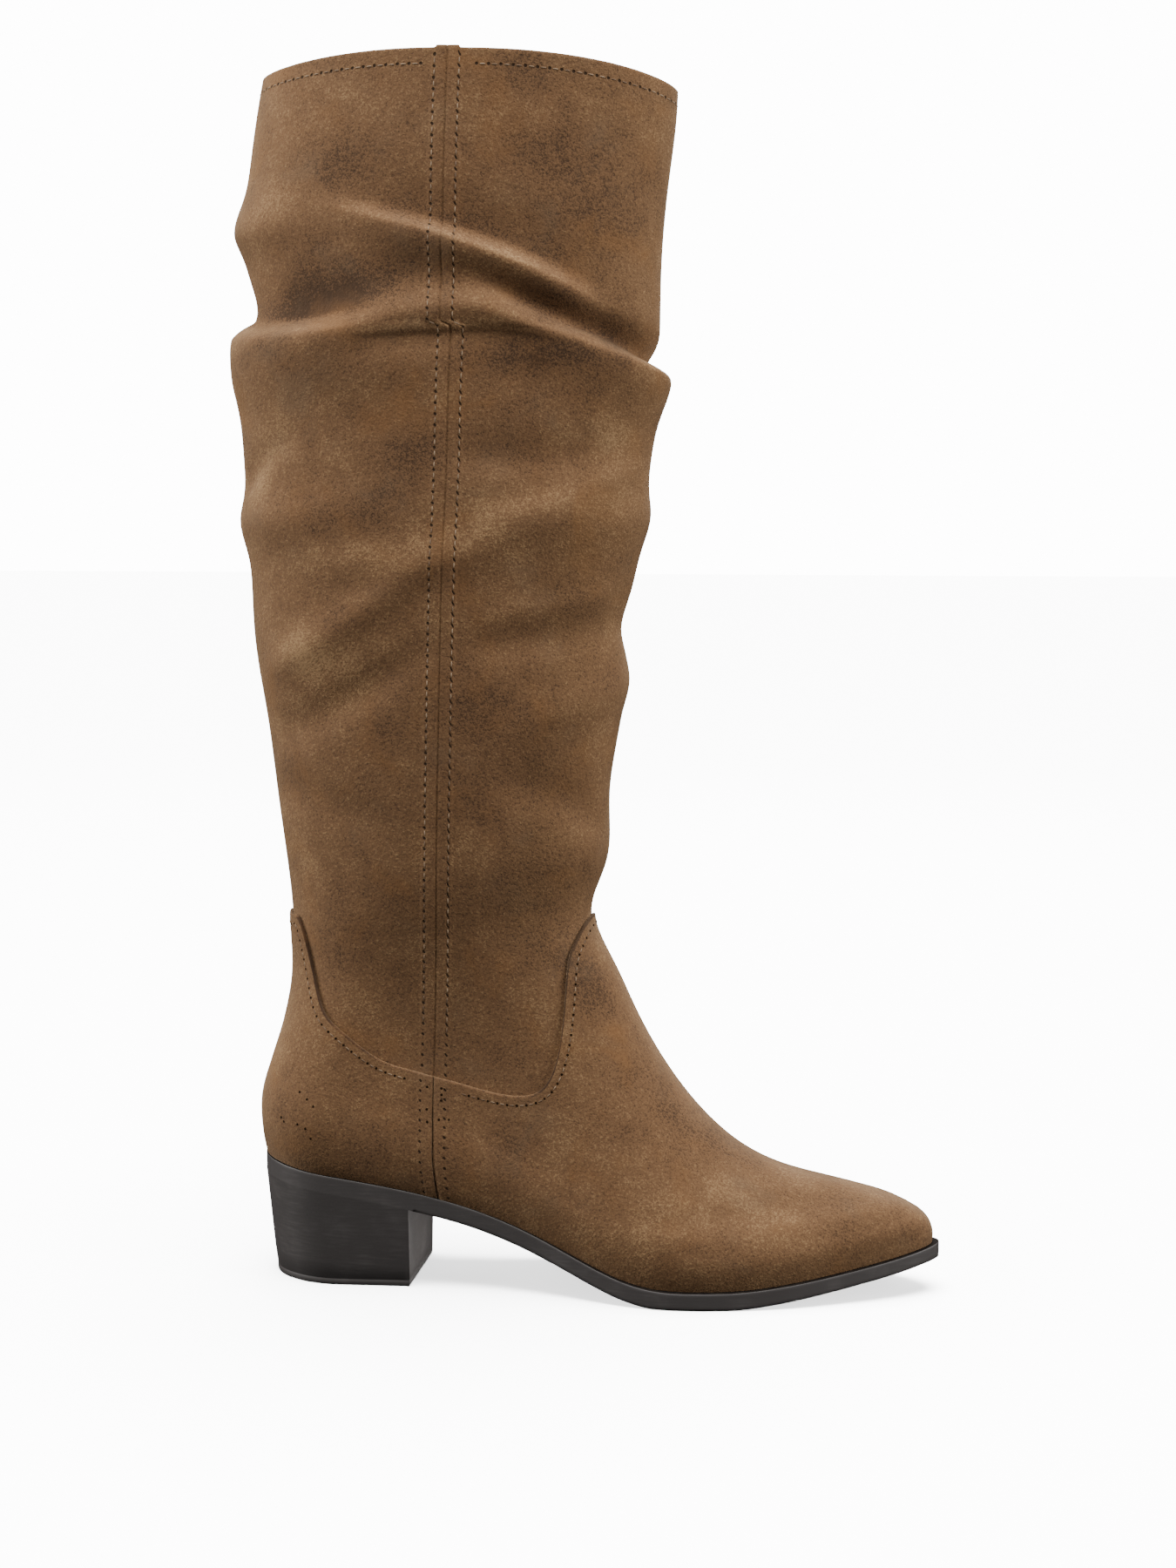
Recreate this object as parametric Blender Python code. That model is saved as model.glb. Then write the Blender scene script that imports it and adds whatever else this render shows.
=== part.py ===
"""Right slouch boot in suede: a tall shaft, a vamp and a counter laid over its foot, a side seam
down each flank, an outsole and a block heel. Lengths in the tables are millimetres: x from the back
of the heel to the toe, y to the medial side, z up from the floor."""

import bmesh
import bpy
import numpy as np

MM = 0.001

# The model's origin is the centre of the heel's flat tread.
HEEL_CENTRE_X = 34.0

# Thicknesses and gaps
WALL = 1.6
SHEET = 1.2
GAP = 0.3
INSOLE_THICKNESS = 2.5

# Sole: plan and heel block
SOLE_BACK_X = 0.9
SOLE_TIP_X = 270.0
HEEL_ROUND = 30.0
TOE_REACH = 60.0
HEEL_BREAST_X = 63.5
HEEL_BACK_TREAD_X = 4.9
HEEL_TAPER = 2.4

# How far the upper's foot lies inside the edge of the sole, with the sheet laid over it
WELT_BACK = 2.2
WELT_FORE = 4.2
WELT_START_X = 70.0
WELT_FULL_X = 150.0

# Side seams: their line, and the low band that the seam allowances raise along it
SEAM_FOOT_X = 75.2
SEAM_LEAN = 0.0182
SEAM_FOOT_Z = 40.0
BAND_HALF = 5.4
BAND_EDGE = 1.2
BAND_RISE = 0.7

# Roundness of the foot's cross sections: 2 is an ellipse, less leans the sides in
SECTION_POWER = 1.7
ANKLE_STEEPNESS = 4.0

# How much fuller the collar's bow is at the front, and its roundness there
FRONT_BOW = 0.30
FRONT_BOW_POWER = 0.75

# Mesh density
SEAM_COLUMNS = (0.041, 0.056)
FRONT_COLUMNS = 12
BACK_COLUMNS = 8
COLUMN_CROWDING = 1.1
FOOT_ROWS = 12
SHAFT_ROWS = ((0.0, 0.57, 12), (0.57, 0.85, 16), (0.85, 1.0, 4))
SOLE_COLUMNS = 40
HEEL_COLUMNS = 14


def table(names, rows):
    """A table with named columns, a row for each section or fold."""
    return np.array(rows, dtype=[(name, float) for name in names.split()])


# Sole: height of its top, its thickness, and its half widths before heel and toe are rounded off
SOLE = table("x top thick lateral medial", [
    (0.0, 48.6, 7.0, 28.0, 28.0),
    (34.0, 43.9, 7.0, 29.0, 28.5),
    (64.0, 38.7, 7.3, 27.6, 26.0),
    (90.0, 32.3, 7.5, 27.8, 24.8),
    (112.0, 24.6, 7.4, 30.8, 26.0),
    (132.0, 16.1, 7.3, 36.0, 29.3),
    (150.0, 9.5, 7.4, 41.2, 33.2),
    (164.0, 7.1, 7.3, 43.8, 35.8),
    (178.0, 6.8, 7.1, 43.8, 37.6),
    (193.0, 7.0, 7.0, 41.3, 38.4),
    (212.0, 8.8, 6.6, 36.2, 36.8),
    (238.0, 12.8, 6.1, 28.4, 31.0),
    (258.0, 16.6, 5.9, 24.0, 26.0),
    (270.0, 19.3, 5.8, 21.5, 23.5),
])

# Upper: the back and front point of each section, from the sole's edge to the collar. half is
# the shaft's half width, swell how much wider than the sole's edge the foot is, and rise how
# much higher the section is at the side seams.
SECTIONS = table("back_x back_z front_x front_z half swell rise", [
    (2.7, 48.9, 265.6, 19.0, 30.0, 0.0, 0.0),
    (1.8, 53.0, 266.0, 23.2, 30.0, 1.4, 0.0),
    (1.0, 58.6, 263.8, 28.4, 30.0, 2.4, 0.0),
    (0.6, 64.7, 257.2, 32.8, 30.0, 3.0, 0.0),
    (0.8, 71.2, 246.0, 36.9, 30.0, 3.0, 0.0),
    (2.2, 77.8, 229.0, 41.2, 30.0, 2.6, 0.0),
    (4.2, 84.0, 209.0, 45.8, 30.0, 2.0, 0.0),
    (6.5, 91.0, 190.0, 54.8, 30.0, 1.4, 0.0),
    (9.1, 99.0, 173.4, 69.8, 30.0, 0.8, 0.0),
    (11.4, 108.0, 160.0, 87.6, 30.4, 0.4, 0.0),
    (13.1, 117.5, 149.4, 106.4, 30.8, 0.2, 0.0),
    (13.6, 127.5, 140.9, 124.6, 31.3, 0.0, 0.0),
    (13.0, 139.0, 133.2, 141.0, 31.9, 0.0, 0.0),
    (12.2, 152.0, 133.8, 155.0, 32.7, 0.0, 0.0),
    (10.0, 171.0, 139.2, 172.0, 34.0, 0.0, 0.0),
    (6.8, 196.0, 139.6, 196.0, 35.8, 0.0, 0.0),
    (3.3, 224.0, 143.6, 223.0, 37.5, 0.0, 0.0),
    (-1.2, 254.0, 145.8, 252.0, 39.0, 0.0, 0.2),
    (-2.4, 286.0, 150.0, 283.0, 40.3, 0.0, 0.5),
    (-4.4, 318.0, 154.2, 314.0, 41.2, 0.0, 1.0),
    (-5.6, 348.0, 157.6, 343.0, 41.8, 0.0, 2.0),
    (-5.0, 375.0, 158.8, 369.0, 42.0, 0.0, 3.2),
    (-3.5, 402.0, 159.2, 395.0, 42.2, 0.0, 4.6),
    (-1.4, 430.0, 161.2, 422.0, 42.4, 0.0, 6.2),
    (2.2, 455.0, 164.4, 447.5, 42.5, 0.0, 7.6),
    (4.8, 468.5, 165.4, 461.5, 42.5, 0.0, 8.6),
])

# Folds of the slouched shaft. Each runs around the shaft through three places, given by the
# station around (0 back, 1 lateral seam, 2 front, 3 medial seam, 4 back again) and the height.
# depth is outward at the middle place and fades to nothing at both ends; above and below are
# its widths.
FOLDS = table("start start_z mid mid_z end end_z depth above below", [
    (-0.9, 393.0, 0.1, 379.0, 1.0, 394.0, -5.6, 20.0, 6.0),
    (-0.9, 354.0, 0.1, 357.0, 1.3, 364.0, 3.6, 17.0, 16.0),
    (0.9, 399.0, 1.5, 376.0, 2.4, 359.0, -7.5, 14.0, 10.0),
    (0.9, 362.0, 2.0, 351.0, 3.0, 360.0, 4.8, 8.0, 15.0),
    (0.3, 418.0, 1.15, 407.0, 1.8, 384.0, 3.0, 8.0, 9.0),
    (-0.8, 414.0, 0.0, 411.0, 0.7, 414.0, 4.2, 12.0, 9.0),
    (-0.8, 300.0, 0.0, 299.0, 1.0, 306.0, 3.4, 10.0, 12.0),
    (0.1, 220.0, 0.6, 236.0, 1.1, 268.0, -2.2, 9.0, 9.0),
    (0.2, 248.0, 0.6, 262.0, 1.1, 296.0, 1.8, 9.0, 9.0),
    (0.95, 294.0, 1.7, 301.0, 2.8, 300.0, 2.8, 10.0, 12.0),
    (0.95, 252.0, 1.7, 259.0, 2.8, 250.0, -2.8, 12.0, 9.0),
    (1.1, 218.0, 1.9, 238.0, 2.9, 228.0, 2.4, 9.0, 10.0),
    (3.0, 398.0, 3.6, 388.0, 4.3, 380.0, -3.6, 9.0, 7.0),
    (2.2, 312.0, 3.0, 330.0, 3.8, 316.0, 2.6, 12.0, 12.0),
    (2.4, 262.0, 3.1, 278.0, 3.9, 268.0, -2.6, 10.0, 10.0),
])

# Top edge of the vamp and counter on either side: a deep U between the shaft's front and back
EDGE = table("station z", [
    (0.00, 146.0),
    (0.20, 145.2),
    (0.32, 141.0),
    (0.39, 127.0),
    (0.46, 114.0),
    (0.60, 102.5),
    (0.80, 90.6),
    (1.00, 84.9),
    (1.13, 80.0),
    (1.23, 78.2),
    (1.31, 81.5),
    (1.38, 90.5),
    (1.46, 106.0),
    (1.55, 124.5),
    (1.68, 137.0),
    (1.85, 144.5),
    (2.00, 146.5),
])

# Sections between which the form changes: from the sole's plan to the toe's own cross sections,
# from the foot to the shaft, and from the sole's curve to a straight section
COLLAR_LEVEL = len(SECTIONS) - 1.0
TOE_FORM_LEVELS = (1.0, 4.5)
SHAFT_FORM_LEVELS = (8.0, 14.0)
STRAIGHT_LEVELS = (0.0, 13.0)
RIDGE_LEVELS = (1, 13)


def smooth(places, values, at):
    """Natural cubic spline through the rows of a table."""
    steps = np.diff(places)
    slopes = np.diff(values) / steps
    count = len(places)
    matrix = np.eye(count)
    turn = np.zeros(count)
    for row in range(1, count - 1):
        matrix[row, row - 1:row + 2] = steps[row - 1], 2 * (steps[row - 1] + steps[row]), steps[row]
        turn[row] = 6 * (slopes[row] - slopes[row - 1])
    bend = np.linalg.solve(matrix, turn)
    at = np.clip(at, places[0], places[-1])
    left = np.clip(np.searchsorted(places, at, side="right") - 1, 0, count - 2)
    step = steps[left]
    t = at - places[left]
    cubic = (bend[left + 1] - bend[left]) / (6 * step)
    linear = slopes[left] - step * (2 * bend[left] + bend[left + 1]) / 6
    return values[left] + t * (linear + t * (bend[left] / 2 + t * cubic))


def ease(t):
    """0 to 1 with level ends."""
    t = np.clip(t, 0.0, 1.0)
    return t * t * (3 - 2 * t)


def quarter_round(distance, reach):
    """Quarter of an ellipse: 0 at an end, 1 from reach onward."""
    away = 1 - np.clip(distance / reach, 0.0, 1.0)
    return np.sqrt(1 - away * away)


def sole_top(x):
    return smooth(SOLE["x"], SOLE["top"], x)


def sole_bottom(x):
    """Underside of the outsole, flat on the floor under the ball."""
    return np.maximum(sole_top(x) - smooth(SOLE["x"], SOLE["thick"], x), 0.0)


def plan_width(x, medial):
    """Half width of the sole before its ends are rounded."""
    wide_medial = smooth(SOLE["x"], SOLE["medial"], x)
    wide_lateral = smooth(SOLE["x"], SOLE["lateral"], x)
    return np.where(medial, wide_medial, wide_lateral)


def ridge_height(x):
    """Height of the instep and toe along the middle of the foot."""
    foot = SECTIONS[slice(*RIDGE_LEVELS)][::-1]
    last = foot[0]
    above = last["front_z"] + ANKLE_STEEPNESS * (last["front_x"] - x)
    return np.where(x < last["front_x"], above, smooth(foot["front_x"], foot["front_z"], x))


def climb_share(x, z):
    """Height above the sole as a share of the height of the foot's ridge there."""
    low = sole_top(x)
    return (z - low) / (ridge_height(x) - low)


def sag_of_sole(p):
    """How far the sole's edge hangs under the straight line from its back to its toe."""
    low = SECTIONS[0]
    x = low["back_x"] + p * (low["front_x"] - low["back_x"])
    line = low["back_z"] + p * (low["front_z"] - low["back_z"])
    return sole_top(x) + GAP - line


def read_level(level):
    rows = np.arange(len(SECTIONS), dtype=float)
    return {name: smooth(rows, SECTIONS[name], level) for name in SECTIONS.dtype.names}


def change(level, levels):
    """0 below a pair of levels, 1 above it."""
    return ease((level - levels[0]) / (levels[1] - levels[0]))


def seam_x(row):
    middle = (row["back_z"] + row["front_z"]) / 2
    return SEAM_FOOT_X + SEAM_LEAN * (middle - SEAM_FOOT_Z)


def collar_bow(p):
    """Bow of the collar between its back and front: fuller toward the front."""
    bow = 4 * p * (1 - p)
    ahead = 2 * np.maximum(p - 0.5, 0.0)
    return np.where(ahead > 0, bow ** FRONT_BOW_POWER * (1 + FRONT_BOW * ahead), bow)


def plain_skin(station, level):
    """Outer face of the upper without folds: x, y and z at a station around and a level."""
    station = np.mod(station, 4.0)
    medial = station > 2.0
    front = (station > 1.0) & (station < 3.0)
    from_seam = np.abs(np.where(medial, station - 3.0, station - 1.0))
    row = read_level(level)
    seam = seam_x(row)
    reach = np.where(front, row["front_x"] - seam, row["back_x"] - seam)
    x = seam + reach * np.sin(from_seam * np.pi / 2)
    p = np.clip((x - row["back_x"]) / (row["front_x"] - row["back_x"]), 0.0, 1.0)
    z = row["back_z"] + p * (row["front_z"] - row["back_z"])
    sag = 1 - change(level, STRAIGHT_LEVELS)
    z = z + row["rise"] * collar_bow(p) + sag * sag_of_sole(p)

    welt = WELT_BACK + (WELT_FORE - WELT_BACK) * ease((x - WELT_START_X) / (WELT_FULL_X - WELT_START_X))
    width = plan_width(x, medial) - welt + row["swell"]
    climb = climb_share(x, z) / climb_share(row["front_x"], row["front_z"])
    across = np.sqrt(1 - np.clip(climb, 0.0, 1.0) ** SECTION_POWER)
    plan = quarter_round(row["front_x"] - x, TOE_REACH)
    foot = width * quarter_round(x - row["back_x"], HEEL_ROUND)
    toe_form = change(level, TOE_FORM_LEVELS)
    foot = foot * across ** toe_form * plan ** (1 - toe_form)
    shaft = 2 * row["half"] * np.sqrt(p * (1 - p))
    shaft_form = change(level, SHAFT_FORM_LEVELS)
    y = foot ** (1 - shaft_form) * shaft ** shaft_form
    return np.stack([x, np.where(medial, y, -y), z], axis=-1)


def fold_height(station, z):
    """Sum of the folds at a station and height."""
    total = np.zeros(np.broadcast(station, z).shape)
    for fold in FOLDS:
        for turn in (-4.0, 0.0, 4.0):
            at = np.mod(station, 4.0) + turn
            before = (at - fold["start"]) / (fold["mid"] - fold["start"])
            after = (fold["end"] - at) / (fold["end"] - fold["mid"])
            fade = ease(before) * ease(after)
            places = np.array([fold["start"], fold["mid"], fold["end"]])
            heights = np.array([fold["start_z"], fold["mid_z"], fold["end_z"]])
            off = z - smooth(places, heights, at)
            width = np.where(off > 0, fold["above"], fold["below"])
            total = total + fold["depth"] * fade * np.exp(-(off / width) ** 2)
    return total


def seam_band(x, level):
    """Low raised band along both side seams."""
    off = np.abs(x - seam_x(read_level(level)))
    return BAND_RISE * ease((BAND_HALF + BAND_EDGE - off) / BAND_EDGE)


def skin(station, level):
    """Outer face of the upper with its folds and the raised bands of the side seams."""
    step = 0.002
    point = plain_skin(station, level)
    along = plain_skin(station + step, level) - plain_skin(station - step, level)
    out = np.stack([-along[..., 1], along[..., 0], np.zeros_like(along[..., 0])], axis=-1)
    out = -out / np.linalg.norm(out, axis=-1, keepdims=True)
    lift = fold_height(station, point[..., 2]) + seam_band(point[..., 0], level)
    return point + out * lift[..., None]


def offset_skin(station, level, distance):
    """The upper's outer face moved outward along its normal."""
    step = 0.004
    level_up = np.minimum(level + step, COLLAR_LEVEL)
    level_down = np.maximum(level - step, 0.0)
    along = skin(station + step, level) - skin(station - step, level)
    up = skin(station, level_up) - skin(station, level_down)
    normal = np.cross(along, up)
    normal[..., 2] = np.where(level <= 0.0, 0.0, normal[..., 2])
    normal = normal / np.linalg.norm(normal, axis=-1, keepdims=True)
    point = skin(station, level) + normal * distance
    on_sole = sole_top(point[..., 0]) + GAP
    point[..., 2] = np.where(level <= 0.0, on_sole, point[..., 2])
    return point


def edge_level(station):
    """Level at which the top edge of the vamp and counter crosses each station."""
    folded = np.mod(station, 4.0)
    folded = np.where(folded > 2.0, 4.0 - folded, folded)
    target = smooth(EDGE["station"], EDGE["z"], folded)
    low = np.zeros_like(station)
    high = np.full_like(station, 16.0)
    for _ in range(30):
        middle = (low + high) / 2
        under = plain_skin(station, middle)[..., 2] < target
        low = np.where(under, middle, low)
        high = np.where(under, high, middle)
    return (low + high) / 2


def quarter_stations(columns):
    """Distance from the side seam in stations: the band's two edges, then on to the middle."""
    seam = SEAM_COLUMNS[-1]
    shares = (np.arange(1, columns) / (columns - 1)) ** COLUMN_CROWDING
    return np.concatenate([SEAM_COLUMNS, seam + (1 - seam) * shares])


def column_stations():
    """Stations around the upper, from the lateral seam by the front and the medial seam."""
    front = quarter_stations(FRONT_COLUMNS)
    back = quarter_stations(BACK_COLUMNS)
    lateral_front = 1 + np.concatenate([[0.0], front])
    medial_front = (3 - np.concatenate([[0.0], front]))[::-1][1:]
    medial_back = 3 + back
    lateral_back = (5 - back)[::-1][1:]
    return np.concatenate([lateral_front, medial_front, medial_back, lateral_back])


def row_levels(edge):
    """Levels from the sole's edge to the collar, one row along the edge of the vamp and counter."""
    foot = [edge * row / FOOT_ROWS for row in range(FOOT_ROWS)]
    shaft = [edge]
    for start, end, rows in SHAFT_ROWS:
        shares = start + (end - start) * np.arange(1, rows + 1) / rows
        shaft += [edge + (COLLAR_LEVEL - edge) * share for share in shares]
    return np.array(foot + shaft)


def to_world(point):
    return ((point[0] - HEEL_CENTRE_X) * MM, point[1] * MM, point[2] * MM)


def join_loops(bm, first, second, closed, turned=0):
    """Pairs of triangles between two rows of vertices, cut the same way on every layer. The first
    turned pairs are cut along the other diagonal, where the folds run down toward the front."""
    count = len(first) if closed else len(first) - 1
    for i in range(count):
        j = (i + 1) % len(first)
        if i < turned:
            bm.faces.new((first[i], first[j], second[i]))
            bm.faces.new((first[j], second[j], second[i]))
        else:
            bm.faces.new((first[i], first[j], second[j]))
            bm.faces.new((first[i], second[j], second[i]))


def add_rows(bm, grid):
    return [[bm.verts.new(to_world(point)) for point in row] for row in grid]


def finish(bm, name, colour, roughness):
    bmesh.ops.recalc_face_normals(bm, faces=bm.faces)
    mesh = bpy.data.meshes.new(name)
    bm.to_mesh(mesh)
    bm.free()
    mesh.shade_smooth()
    mesh.set_sharp_from_angle(angle=np.radians(50))
    material = bpy.data.materials.new(name)
    material.use_nodes = True
    shader = material.node_tree.nodes["Principled BSDF"]
    shader.inputs["Base Color"].default_value = (*colour, 1.0)
    shader.inputs["Roughness"].default_value = roughness
    shader.inputs["Metallic"].default_value = 0.0
    mesh.materials.append(material)
    thing = bpy.data.objects.new(name, mesh)
    bpy.context.scene.collection.objects.link(thing)
    return thing


SUEDE = (0.205, 0.107, 0.051)
LINING = (0.34, 0.24, 0.15)
SOLE_DARK = (0.048, 0.042, 0.042)


def make_upper():
    """One hollow wall from the sole's edge to the collar, open at the top and underneath."""
    stations = column_stations()
    levels = row_levels(edge_level(stations))
    outer = offset_skin(stations[None, :], levels, 0.0)
    inner = offset_skin(stations[None, :], levels, -WALL)
    bm = bmesh.new()
    outer = add_rows(bm, outer)
    inner = add_rows(bm, inner)
    front = FRONT_COLUMNS + 1
    for low, high in zip(outer, outer[1:]):
        join_loops(bm, low, high, closed=True, turned=front)
    for low, high in zip(inner, inner[1:]):
        join_loops(bm, low, high, closed=True, turned=front)
    join_loops(bm, outer[-1], inner[-1], closed=True)
    join_loops(bm, inner[0], outer[0], closed=True)
    return finish(bm, "upper", SUEDE, 0.95)


def make_overlay(name, start, end, turned):
    """Sheet over the upper's foot between two side seams, up to the U-shaped edge."""
    stations = column_stations()
    if start > end:
        stations = np.mod(stations - start, 4.0) + start
        end = end + 4.0
    stations = np.sort(stations)
    inside = stations[(stations > start + 0.001) & (stations < end - 0.001)]
    margin = GAP / 2 / 200.0
    stations = np.concatenate([[start + margin], inside, [end - margin]])
    levels = row_levels(edge_level(stations))[:FOOT_ROWS + 1]
    under = add_rows(bm := bmesh.new(), offset_skin(stations[None, :], levels, GAP))
    over = add_rows(bm, offset_skin(stations[None, :], levels, GAP + SHEET))
    for low, high in zip(over, over[1:]):
        join_loops(bm, low, high, closed=False, turned=turned)
    for low, high in zip(under, under[1:]):
        join_loops(bm, low, high, closed=False, turned=turned)
    join_loops(bm, over[-1], under[-1], closed=False)
    join_loops(bm, under[0], over[0], closed=False)
    for side in (0, -1):
        join_loops(bm, [row[side] for row in over], [row[side] for row in under], closed=False)
    return finish(bm, name, SUEDE, 0.95)


def plate(name, outline, top, bottom, colour, roughness):
    """Flat-sided plate: outline holds x, lateral y and medial y of stations from back to front."""
    bm = bmesh.new()
    x, lateral, medial = outline
    corners = np.concatenate([
        np.stack([x, lateral], axis=-1),
        np.stack([x, medial], axis=-1)[::-1],
    ])
    low = [bm.verts.new(to_world((px, py, float(bottom(px))))) for px, py in corners]
    high = [bm.verts.new(to_world((px, py, float(top(px))))) for px, py in corners]
    join_loops(bm, low, high, closed=True)
    last = len(corners) - 1
    for i in range(len(x) - 1):
        bm.faces.new((high[i], high[i + 1], high[last - i - 1], high[last - i]))
        bm.faces.new((low[i + 1], low[i], low[last - i], low[last - i - 1]))
    bmesh.ops.remove_doubles(bm, verts=bm.verts, dist=0.00001)
    return finish(bm, name, colour, roughness)


def make_outsole():
    t = np.arange(SOLE_COLUMNS + 1) / SOLE_COLUMNS
    x = SOLE_BACK_X + (SOLE_TIP_X - SOLE_BACK_X) * (1 - np.cos(np.pi * t)) / 2
    ends = quarter_round(x - SOLE_BACK_X, HEEL_ROUND) * quarter_round(SOLE_TIP_X - x, TOE_REACH)
    outline = (x, -plan_width(x, False) * ends, plan_width(x, True) * ends)
    return plate("outsole", outline, sole_top, sole_bottom, SOLE_DARK, 0.5)


def make_heel():
    """Block under the back of the outsole, D-shaped, a little narrower at the floor."""
    t = np.arange(HEEL_COLUMNS + 1) / HEEL_COLUMNS
    share = 1 - np.cos(np.pi / 2 * t)
    rows = []
    for back, taper in ((HEEL_BACK_TREAD_X, HEEL_TAPER), (SOLE_BACK_X + 0.3, 0.0)):
        x = back + (HEEL_BREAST_X - back) * share
        round_back = quarter_round(x - back, HEEL_ROUND)
        lateral = -(plan_width(x, False) - taper) * round_back
        medial = (plan_width(x, True) - taper) * round_back
        z = np.zeros_like(x) if taper else sole_bottom(x) - GAP
        side = np.stack([x, lateral, z], axis=-1)
        other = np.stack([x, medial, z], axis=-1)[::-1]
        rows.append(np.concatenate([side, other[:-1]]))
    bm = bmesh.new()
    tread, seat = add_rows(bm, rows)
    join_loops(bm, tread, seat, closed=True)
    bm.faces.new(tread)
    count = len(seat)
    bm.faces.new((seat[0], seat[1], seat[-1]))
    for i in range(1, HEEL_COLUMNS):
        bm.faces.new((seat[i], seat[i + 1], seat[count - i - 1], seat[count - i]))
    return finish(bm, "heel", SOLE_DARK, 0.5)


def make_insole():
    """Sheet inside the upper, on the outsole."""
    station = 1 + np.concatenate([-quarter_stations(BACK_COLUMNS)[::-1], [0.0],
                                  quarter_stations(FRONT_COLUMNS)])
    level = np.zeros_like(station)
    inset = -(WALL + GAP)
    lateral = offset_skin(station, level, inset)
    medial = offset_skin(4 - station, level, inset)
    x = (lateral[:, 0] + medial[:, 0]) / 2
    y_medial = medial[:, 1].copy()
    y_lateral = lateral[:, 1].copy()
    y_medial[[0, -1]] = y_lateral[[0, -1]] = 0.0
    return plate("insole", (x, y_lateral, y_medial),
                 lambda at: sole_top(at) + GAP + INSOLE_THICKNESS,
                 lambda at: sole_top(at) + GAP, LINING, 0.8)


for thing in list(bpy.data.objects):
    bpy.data.objects.remove(thing, do_unlink=True)

make_outsole()
make_heel()
make_insole()
make_upper()
make_overlay("vamp", 1.0, 3.0, turned=FRONT_COLUMNS + 1)
make_overlay("counter", 3.0, 1.0, turned=0)
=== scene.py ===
import math

import bmesh
import bpy
import numpy as np
from mathutils import Matrix, Vector


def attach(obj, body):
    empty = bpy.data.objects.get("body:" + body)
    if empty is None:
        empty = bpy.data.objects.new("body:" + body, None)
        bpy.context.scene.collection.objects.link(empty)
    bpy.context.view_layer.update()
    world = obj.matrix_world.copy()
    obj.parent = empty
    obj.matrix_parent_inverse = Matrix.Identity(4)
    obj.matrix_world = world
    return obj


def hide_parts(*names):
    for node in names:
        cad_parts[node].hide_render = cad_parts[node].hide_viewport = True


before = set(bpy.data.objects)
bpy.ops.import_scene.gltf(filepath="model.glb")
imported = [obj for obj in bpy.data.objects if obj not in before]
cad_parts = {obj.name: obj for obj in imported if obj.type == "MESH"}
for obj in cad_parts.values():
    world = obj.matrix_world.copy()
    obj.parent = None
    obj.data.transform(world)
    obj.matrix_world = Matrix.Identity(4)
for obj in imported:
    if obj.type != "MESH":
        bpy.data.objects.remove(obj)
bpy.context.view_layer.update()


# The photographer's table: a plain white floor and surround, with large soft lights at both
# sides, above and behind. The camera stands a little toward the toe, level with the calf.
MM = 0.001
FLOOR_SIZE = 14.0
CAMERA_PLACE = (0.24086, -1.08904, 0.3233)
CAMERA_TURN = math.radians(7.527)
CAMERA_DOWN = math.radians(6.53)
CAMERA_LENS = 64.79
BOOT_MIDDLE = Vector((0.09, 0.0, 0.22))
HEEL_BREAST_MIDDLE = Vector((0.03, 0.0, 0.02))


def add_object(bm, name, materials):
    data = bpy.data.meshes.new(name)
    bm.to_mesh(data)
    bm.free()
    for material in materials:
        data.materials.append(material)
    thing = bpy.data.objects.new(name, data)
    bpy.context.collection.objects.link(thing)
    return thing


floor_paint = bpy.data.materials.new("white floor")
floor_paint.use_nodes = True
floor_shader = floor_paint.node_tree.nodes["Principled BSDF"]
floor_shader.inputs["Base Color"].default_value = (0.9, 0.9, 0.9, 1)
floor_shader.inputs["Roughness"].default_value = 1.0
floor_shader.inputs["Specular IOR Level"].default_value = 0.0
floor_mesh = bmesh.new()
bmesh.ops.create_grid(floor_mesh, x_segments=1, y_segments=1, size=FLOOR_SIZE / 2)
floor = add_object(floor_mesh, "floor", [floor_paint])
floor.visible_diffuse = False
floor.visible_glossy = False

world = bpy.data.worlds.new("white surround")
bpy.context.scene.world = world
world.use_nodes = True
world.node_tree.nodes["Background"].inputs["Color"].default_value = (1, 1, 1, 1)
world.node_tree.nodes["Background"].inputs["Strength"].default_value = 14.0
world.cycles_visibility.diffuse = False
world.cycles_visibility.glossy = False


def add_light(name, kind, place, power):
    light = bpy.data.objects.new(name, bpy.data.lights.new(name, kind))
    bpy.context.collection.objects.link(light)
    light.location = place
    light.data.energy = power
    return light


sole_group = bpy.data.collections.new("sole only")
for name, place, size, power in [
    ("left softbox", (-1.35, -0.3, 0.8), 0.9, 26.0),
    ("right softbox", (1.55, -0.3, 0.8), 0.9, 26.0),
    ("top softbox", (0.05, -0.45, 1.5), 0.8, 19.5),
    ("camera fill", (0.3, -1.7, 0.7), 1.0, 1.6),
    ("glow under the arch", (0.084, -0.006, 0.008), 0.012, 0.035),
    ("back softbox", (0.1, 1.3, 1.0), 1.2, 20.0),
]:
    light = add_light(name, "AREA", place, power)
    light.data.shape = "SQUARE"
    light.data.size = size
    aim = BOOT_MIDDLE
    if name == "glow under the arch":
        light.light_linking.receiver_collection = sole_group
        light.visible_camera = False
        aim = HEEL_BREAST_MIDDLE
    light.rotation_euler = (aim - Vector(place)).to_track_quat("-Z", "Y").to_euler()

# Two more lights reach only the floor: one whitens it and leaves the boot's soft shadow in it, the
# other casts no shadow and lifts the whole floor a little.
floor_group = bpy.data.collections.new("floor only")
floor_group.objects.link(floor)
wash = add_light("floor wash", "SUN", (0.1, 0.2, 3.0), 34.0)
wash.data.angle = math.radians(50)
wash.light_linking.receiver_collection = floor_group
floor_lift = add_light("floor lift", "SUN", (0.2, 0.2, 3.0), 6.0)
floor_lift.data.use_shadow = False
floor_lift.light_linking.receiver_collection = floor_group

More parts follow.
